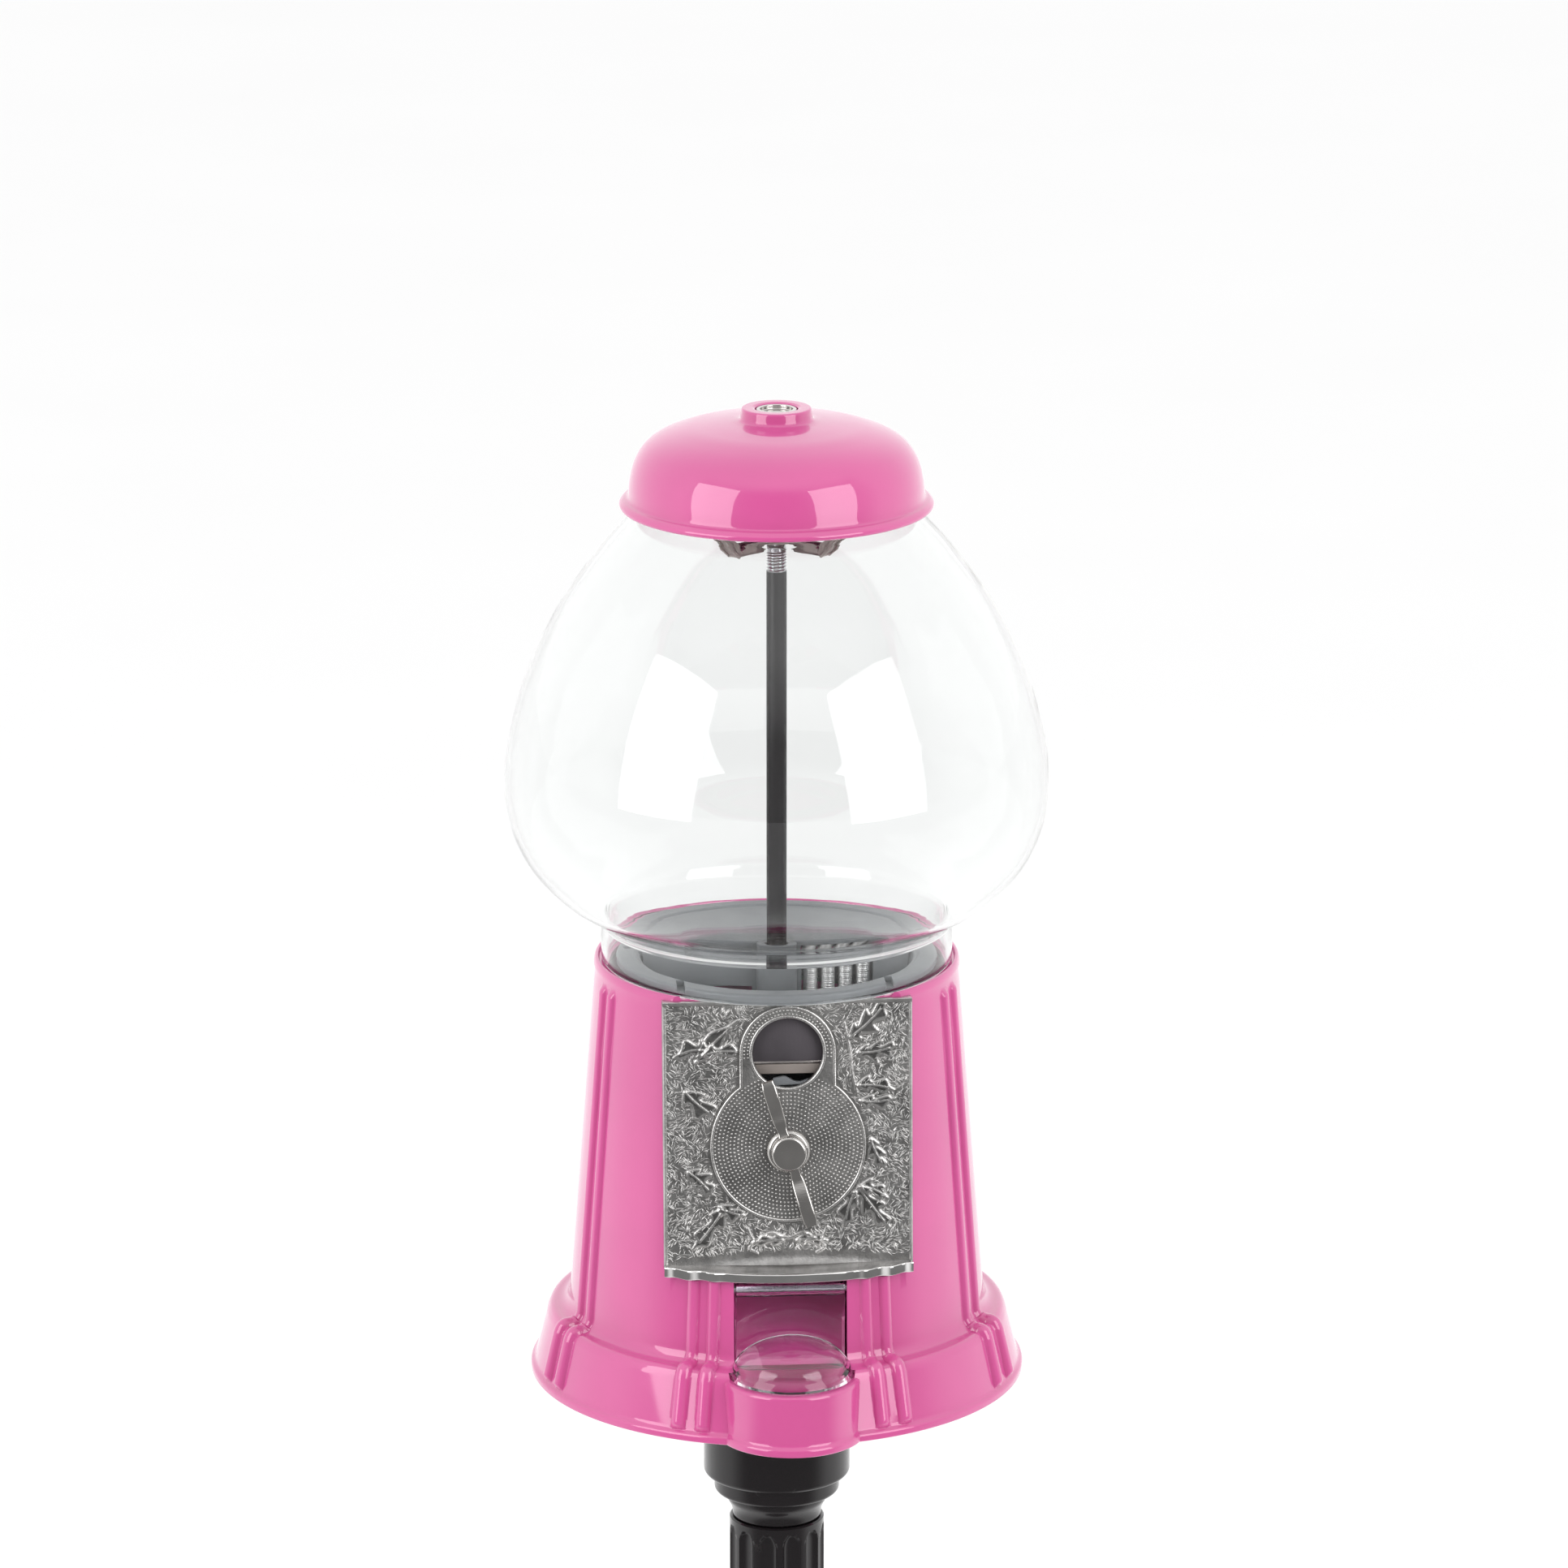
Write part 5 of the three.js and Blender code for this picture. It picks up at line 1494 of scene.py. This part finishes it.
class GUMBALL_OT_springs(bpy.types.Operator):
    """Four upright coil springs in the dish's window"""
    bl_idname = "gumball.springs"
    bl_label = "Hopper springs"

    def execute(self, context):
        turns = context.scene.gumball_sizes.spring_turns
        for k in range(4):
            node = f"hopper_spring_{k + 1}"
            low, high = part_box(node)
            middle = (low + high) / 2
            tool = NodeTool(f"coil_{k + 1}", {
                "Turns": ("NodeSocketFloat", 15.0), "Height": ("NodeSocketFloat", 0.016),
                "Radius": ("NodeSocketFloat", 0.0025), "Wire": ("NodeSocketFloat", 0.00035)})
            coil = tool.node("GeometryNodeCurveSpiral", {}, {
                "Resolution": 16, "Rotations": tool.given("Turns"), "Start Radius": tool.given("Radius"),
                "End Radius": tool.given("Radius"), "Height": tool.given("Height")})
            wire = tool.node("GeometryNodeCurvePrimitiveCircle", {}, {
                "Resolution": 6, "Radius": tool.given("Wire")})
            tube = tool.node("GeometryNodeCurveToMesh", {}, {
                "Curve": coil, "Profile Curve": wire, "Fill Caps": True})
            tree = tool.close(tube, finish("spring"))
            spring = grown(f"coil_spring_{k + 1}", tree, {
                "Turns": float(turns), "Height": high.z - low.z - 0.0008, "Radius": 0.0026,
                "Wire": 0.0003})
            spring.data.transform(Matrix.Translation((middle.x, middle.y, low.z + 0.0004)))
            outward(spring)
            hand_over(spring, "spring", "hopper_dish", "polished_metal", node, crease=60)
        return {"FINISHED"}


# ------------------------------------------------------------------ globe, spider, lid

class GUMBALL_OT_globe(bpy.types.Operator):
    """The blown glass globe"""
    bl_idname = "gumball.globe"
    bl_label = "Globe"

    def execute(self, context):
        bottom, height, thick = SEAT + 0.3, 190.0, 2.4
        neck, mouth = 69.2, 53.5
        side = [(neck - 0.2, 15), (70.6, 17.6), (76, 21.6), (87, 29), (98.4, 42), (104.8, 57), (106.5, 73),
                (104.4, 92), (97.2, 116), (85.2, 141), (70, 163), (59, 175.6), (54.4, 180.4), (mouth, 184)]
        curve = self.smooth(side, 64)
        outer, inner = [], []
        for i, point in enumerate(curve):
            a, b = curve[max(i - 1, 0)], curve[min(i + 1, len(curve) - 1)]
            along = (b - a).normalized()
            outer.append((point.x, bottom + point.y))
            inner.append((point.x - along.y * thick, bottom + point.y + along.x * thick))
        top = bottom + height
        profile = rounded([
            (neck - 1.6, bottom, 0.6), (neck - 0.2, bottom + 0.6, 0.8), (neck, bottom + 8, 0),
        ], 4, closed=False)
        profile += outer
        profile += rounded([(mouth, top - 5, 0), (mouth + 0.55, top - 2.4, 1), (mouth + 0.4, top - 0.2, 1),
                            (mouth - 1.8, top, 1), (mouth - 2.6, top - 2.4, 1), (mouth - 2.4, top - 5, 0)], 4,
                           closed=False)
        profile += list(reversed(inner))
        profile += rounded([(neck - thick, bottom + 8, 0), (neck - thick, bottom + 0.6, 0.8),
                            (neck - 1.8, bottom, 0.4)], 4, closed=False)[:-1]

        def waver(angle, i):
            z = profile[i][1]
            soft = noise.noise(Vector((math.cos(angle) * 1.3, math.sin(angle) * 1.3, z * 0.03)))
            return (0.22 * soft, 0.25 * soft if z > top - 8 else 0)

        globe = turned("glass_globe", profile, 160, shift=waver)
        hand_over(globe, "globe", "globe", "globe_glass", "globe", crease=60)
        return {"FINISHED"}

    def smooth(self, points, count):
        """A rounded curve through the points, sampled evenly."""
        given = [Vector(p) for p in points]
        given = [given[0] * 2 - given[1]] + given + [given[-1] * 2 - given[-2]]
        out = []
        spans = len(points) - 1
        for k in range(count + 1):
            t = spans * k / count
            i = min(int(t), spans - 1)
            u = t - i
            a, b, c, d = given[i:i + 4]
            out.append(0.5 * ((2 * b) + (c - a) * u + (2 * a - 5 * b + 4 * c - d) * u ** 2
                              + (3 * b - a - 3 * c + d) * u ** 3))
        return out


class GUMBALL_OT_spider(bpy.types.Operator):
    """The spider ring that is clamped to the rod inside the globe's mouth"""
    bl_idname = "gumball.spider"
    bl_label = "Spider ring"

    def execute(self, context):
        ring_z, hub_z = 352.5, 335.0
        rim = turned("spider_rim", rounded([
            (42, ring_z, 0.3), (48.8, ring_z, 0.3), (49.2, ring_z + 1.0, 0.3), (50.2, ring_z + 1.2, 0.3),
            (50.2, ring_z + 2.4, 0.5), (42, ring_z + 2.4, 0.5)]), 128)
        hub = turned("spider_hub", rounded([
            (4.35, hub_z, 0.2), (8.6, hub_z, 0.4), (8.6, hub_z + 3, 0.5), (4.35, hub_z + 3, 0.3)]), 48)
        pieces = [rim, hub]
        drop = ring_z - hub_z
        lean = math.atan((44 - 24) / drop)
        length = drop / math.cos(lean)
        for k in range(4):
            turn = math.pi / 4 + k * math.pi / 2
            foot = about_z(turn) @ Matrix.Translation((24, 0, hub_z + 0.4)) @ Matrix.Rotation(lean, 4, "Y")
            pieces.append(block(f"leg_web_{k}", (-0.6, 0.6), (-3, 3), (0, length + 0.8), foot, 0.2))
            for side in (-1, 1):
                edges = sorted((side * 3.0, side * 1.9))
                pieces.append(block(f"leg_flange_{k}_{side}", (-1.9, 1.3), edges, (0, length + 0.8),
                                    foot, 0.2))
            pieces.append(block(f"arm_{k}", (7.6, 25.6), (-2.4, 2.4), (hub_z, hub_z + 1.2),
                                about_z(turn), 0.2))
            for side in (-1, 1):
                edges = sorted((side * 2.4, side * 1.5))
                pieces.append(block(f"arm_rib_{k}_{side}", (7.6, 25.6), edges, (hub_z, hub_z + 2.6),
                                    about_z(turn), 0.2))
        for turn, radius, hollow in ((3.5, 2.4, 0), (0.75, 2.1, 0), (-0.75, 2.9, 1.4)):
            place = TO_MACHINE @ Matrix.Translation((46 * math.cos(turn), 46 * math.sin(turn), 0))
            top = ring_z + 7.0
            if hollow:
                peg = turned("peg", rounded([(hollow, ring_z + 2, 0.1), (radius, ring_z + 2, 0.1),
                                             (radius, top, 0.4), (hollow, top, 0.4)]), 32, place)
            else:
                peg = turned("peg", rounded([(0, ring_z + 2, 0), (radius, ring_z + 2, 0), (radius, top, 0.4),
                                             (0, top, 0)], 4, closed=False), 32, place, closed=False)
            pieces.append(peg)
        spider = joined("spider_frame", *pieces)
        hand_over(spider, "spider_plastic", "spider", "olive_plastic", "spider_ring")
        return {"FINISHED"}


class GUMBALL_OT_lid(bpy.types.Operator):
    """The enamelled lid with its beaded rim and boss, and the threaded insert"""
    bl_idname = "gumball.lid"
    bl_label = "Lid"

    def execute(self, context):
        base = (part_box("lid")[0].z - FLOOR_TO_MACHINE) / MM
        wall = 2.2
        dome = [(57.6, 4.6, 1.2), (57.2, 10, 2), (56, 16, 3), (53.8, 21, 3), (50.2, 25.4, 3), (44.4, 28.9, 4),
                (35.4, 31.8, 4), (24, 33.3, 3), (16.4, 34.0, 1.6)]
        outside = [(60.2, 0, 0.5), (61, 0.8, 0.5), (61, 2.0, 0.6), (59.6, 3.4, 0.6), (58.2, 3.9, 0.6)] + dome
        outside += [(14.0, 34.6, 1.4), (13.65, 38.4, 0.3), (13.3, 39.2, 0.8), (9.4, 39.2, 0.5),
                    (8.3, 38.7, 0.3), (8.3, 29, 0.4)]
        inside = [(12, 29, 0.5), (15, 33.9 - wall, 0.8)]
        inside += [(x - wall * 0.9 * (x / 60), y - wall * (1 - x / 62), f) for x, y, f in reversed(dome[:-1])]
        inside += [(55.4, 1.2, 0.6), (57.4, 0.2, 0.3)]
        profile = rounded([(x, base + y, f) for x, y, f in outside + inside], 5)
        lid = turned("lid_shell", profile, 160)
        hand_over(lid, "enamel", "lid", "pink_enamel", "lid")
        top = base + 38.7
        insert = turned("threaded_insert", rounded([
            (2.8, top - 21.8, 0.3), (6.2, top - 21.8, 0.6), (6.4, top - 12, 0.4), (7.9, top - 11.4, 0.4),
            (7.9, top, 0.5), (6.4, top, 0.3), (6.2, top - 1.6, 0.3), (3.4, top - 1.8, 0.3),
            (2.8, top - 2.6, 0.3)]), 56)
        hand_over(insert, "polished", "lid", "polished_metal", "lid_insert")
        return {"FINISHED"}


# ------------------------------------------------------------------ studio

class GUMBALL_OT_studio(bpy.types.Operator):
    """Pale floor, soft lights, plain world and the camera"""
    bl_idname = "gumball.studio"
    bl_label = "Studio"

    def execute(self, context):
        scene = context.scene
        scene.view_settings.view_transform = "Standard"
        scene.view_settings.look = "None"
        self.floor()
        self.world(scene)
        for name, degrees in (("soft_left", -55), ("soft_right", 43)):
            self.panel(name, degrees, height=1.3, distance=1.6, width=1.05, tall=1.25, brightness=3.2)
        self.camera(scene)
        return {"FINISHED"}

    def floor(self):
        verts = [(x, y, -0.0002) for x, y in ((-30, -30), (30, -30), (30, 30), (-30, 30))]
        floor = mesh_piece("studio_floor", verts, [(0, 1, 2, 3)], Matrix.Identity(4))
        made = Finish("floor_paper", Specular_IOR_Level=0.0)
        made.put(Base_Color=made.mix(made.noise(3.0, 2.0), (0.93, 0.93, 0.93), (0.95, 0.95, 0.95)))
        made.put(Roughness=0.9 + made.noise(8.0, 2.0) * 0.1)
        floor.data.materials.append(made.material)
        floor.visible_glossy = False

    def world(self, scene):
        """White overhead and behind the machine, and a dim room in front of it."""
        world = bpy.data.worlds.new("studio_world")
        scene.world = world
        world.use_nodes = True
        nodes, links = world.node_tree.nodes, world.node_tree.links
        nodes.clear()

        def node(kind, **settings):
            made = nodes.new(kind)
            for name, value in settings.items():
                setattr(made, name, value)
            return made

        def ramp(source, low, high):
            made = node("ShaderNodeMapRange", interpolation_type="SMOOTHSTEP")
            made.inputs["From Min"].default_value = low
            made.inputs["From Max"].default_value = high
            links.new(source, made.inputs["Value"])
            return made.outputs[0]

        split = node("ShaderNodeSeparateXYZ")
        links.new(node("ShaderNodeTexCoord").outputs["Generated"], split.inputs[0])
        behind = ramp(split.outputs["Y"], -0.6, -0.05)
        above = ramp(split.outputs["Z"], 0.4, 0.8)
        either = node("ShaderNodeMath", operation="MAXIMUM")
        links.new(behind, either.inputs[0])
        links.new(above, either.inputs[1])
        level = node("ShaderNodeMapRange")
        level.inputs["To Min"].default_value = 0.3
        level.inputs["To Max"].default_value = 1.46
        links.new(either.outputs[0], level.inputs["Value"])
        back = node("ShaderNodeBackground")
        links.new(level.outputs[0], back.inputs["Strength"])
        links.new(back.outputs[0], node("ShaderNodeOutputWorld").inputs[0])

    def panel(self, name, degrees, height, distance, width, tall, brightness):
        light = bpy.data.lights.new(name, "AREA")
        light.shape = "RECTANGLE"
        light.size = width
        light.size_y = tall
        light.energy = brightness * math.pi * width * tall
        lamp = bpy.data.objects.new(name, light)
        bpy.context.scene.collection.objects.link(lamp)
        angle = front_angle(degrees)
        spot = Vector((distance * math.cos(angle), distance * math.sin(angle), height))
        lamp.location = spot
        target = Vector((0, 0, FLOOR_TO_MACHINE + 0.25))
        lamp.rotation_euler = (target - spot).to_track_quat("-Z", "Y").to_euler()

    def camera(self, scene):
        studio = scene.gumball_studio
        data = bpy.data.cameras.new("studio_camera")
        data.lens = studio.lens
        data.sensor_width = 36
        data.clip_end = 60
        camera = bpy.data.objects.new("studio_camera", data)
        scene.collection.objects.link(camera)
        tilt, turn = studio.elevation, studio.azimuth
        away = Vector((math.sin(turn) * math.cos(tilt), -math.cos(turn) * math.cos(tilt), math.sin(tilt)))
        right = Vector((math.cos(turn), math.sin(turn), 0))
        up = right.cross(-away).normalized()
        aim = Vector((0, 0, FLOOR_TO_MACHINE + 0.237)) + right * 0.0029 + up * 0.0022
        camera.location = aim + away * studio.distance
        camera.rotation_euler = (-away).to_track_quat("-Z", "Y").to_euler()
        scene.camera = camera


# ------------------------------------------------------------------ add-on

PIECES = (
    GUMBALL_OT_stand, GUMBALL_OT_feet, GUMBALL_OT_base_body, GUMBALL_OT_ramp, GUMBALL_OT_door,
    GUMBALL_OT_coin_plate, GUMBALL_OT_coin_slot, GUMBALL_OT_handle, GUMBALL_OT_mechanism,
    GUMBALL_OT_rod, GUMBALL_OT_wheel, GUMBALL_OT_wing_plate, GUMBALL_OT_dish, GUMBALL_OT_springs,
    GUMBALL_OT_globe, GUMBALL_OT_spider, GUMBALL_OT_lid, GUMBALL_OT_studio,
)


class GUMBALL_PT_panel(bpy.types.Panel):
    """Sizes, colours and pieces of the machine"""
    bl_idname = "GUMBALL_PT_panel"
    bl_label = "Gumball machine"
    bl_space_type = "VIEW_3D"
    bl_region_type = "UI"
    bl_category = "Gumball"

    def draw(self, context):
        layout = self.layout
        for group_name in GROUPS:
            group = getattr(context.scene, group_name)
            box = layout.box()
            for name in group.__annotations__:
                box.prop(group, name)
        for piece in PIECES:
            layout.operator(piece.bl_idname)


GROUPS = {
    "gumball_sizes": GUMBALL_PG_sizes,
    "gumball_colours": GUMBALL_PG_colours,
    "gumball_studio": GUMBALL_PG_studio,
}


def register():
    for kind in (*GROUPS.values(), *PIECES, GUMBALL_PT_panel):
        bpy.utils.register_class(kind)
    for name, kind in GROUPS.items():
        setattr(bpy.types.Scene, name, bpy.props.PointerProperty(type=kind))


def unregister():
    for name in GROUPS:
        delattr(bpy.types.Scene, name)
    for kind in reversed((*GROUPS.values(), *PIECES, GUMBALL_PT_panel)):
        bpy.utils.unregister_class(kind)


def main():
    register()
    for piece in PIECES:
        family, name = piece.bl_idname.split(".")
        getattr(getattr(bpy.ops, family), name)()


if __name__ == "__main__":
    main()
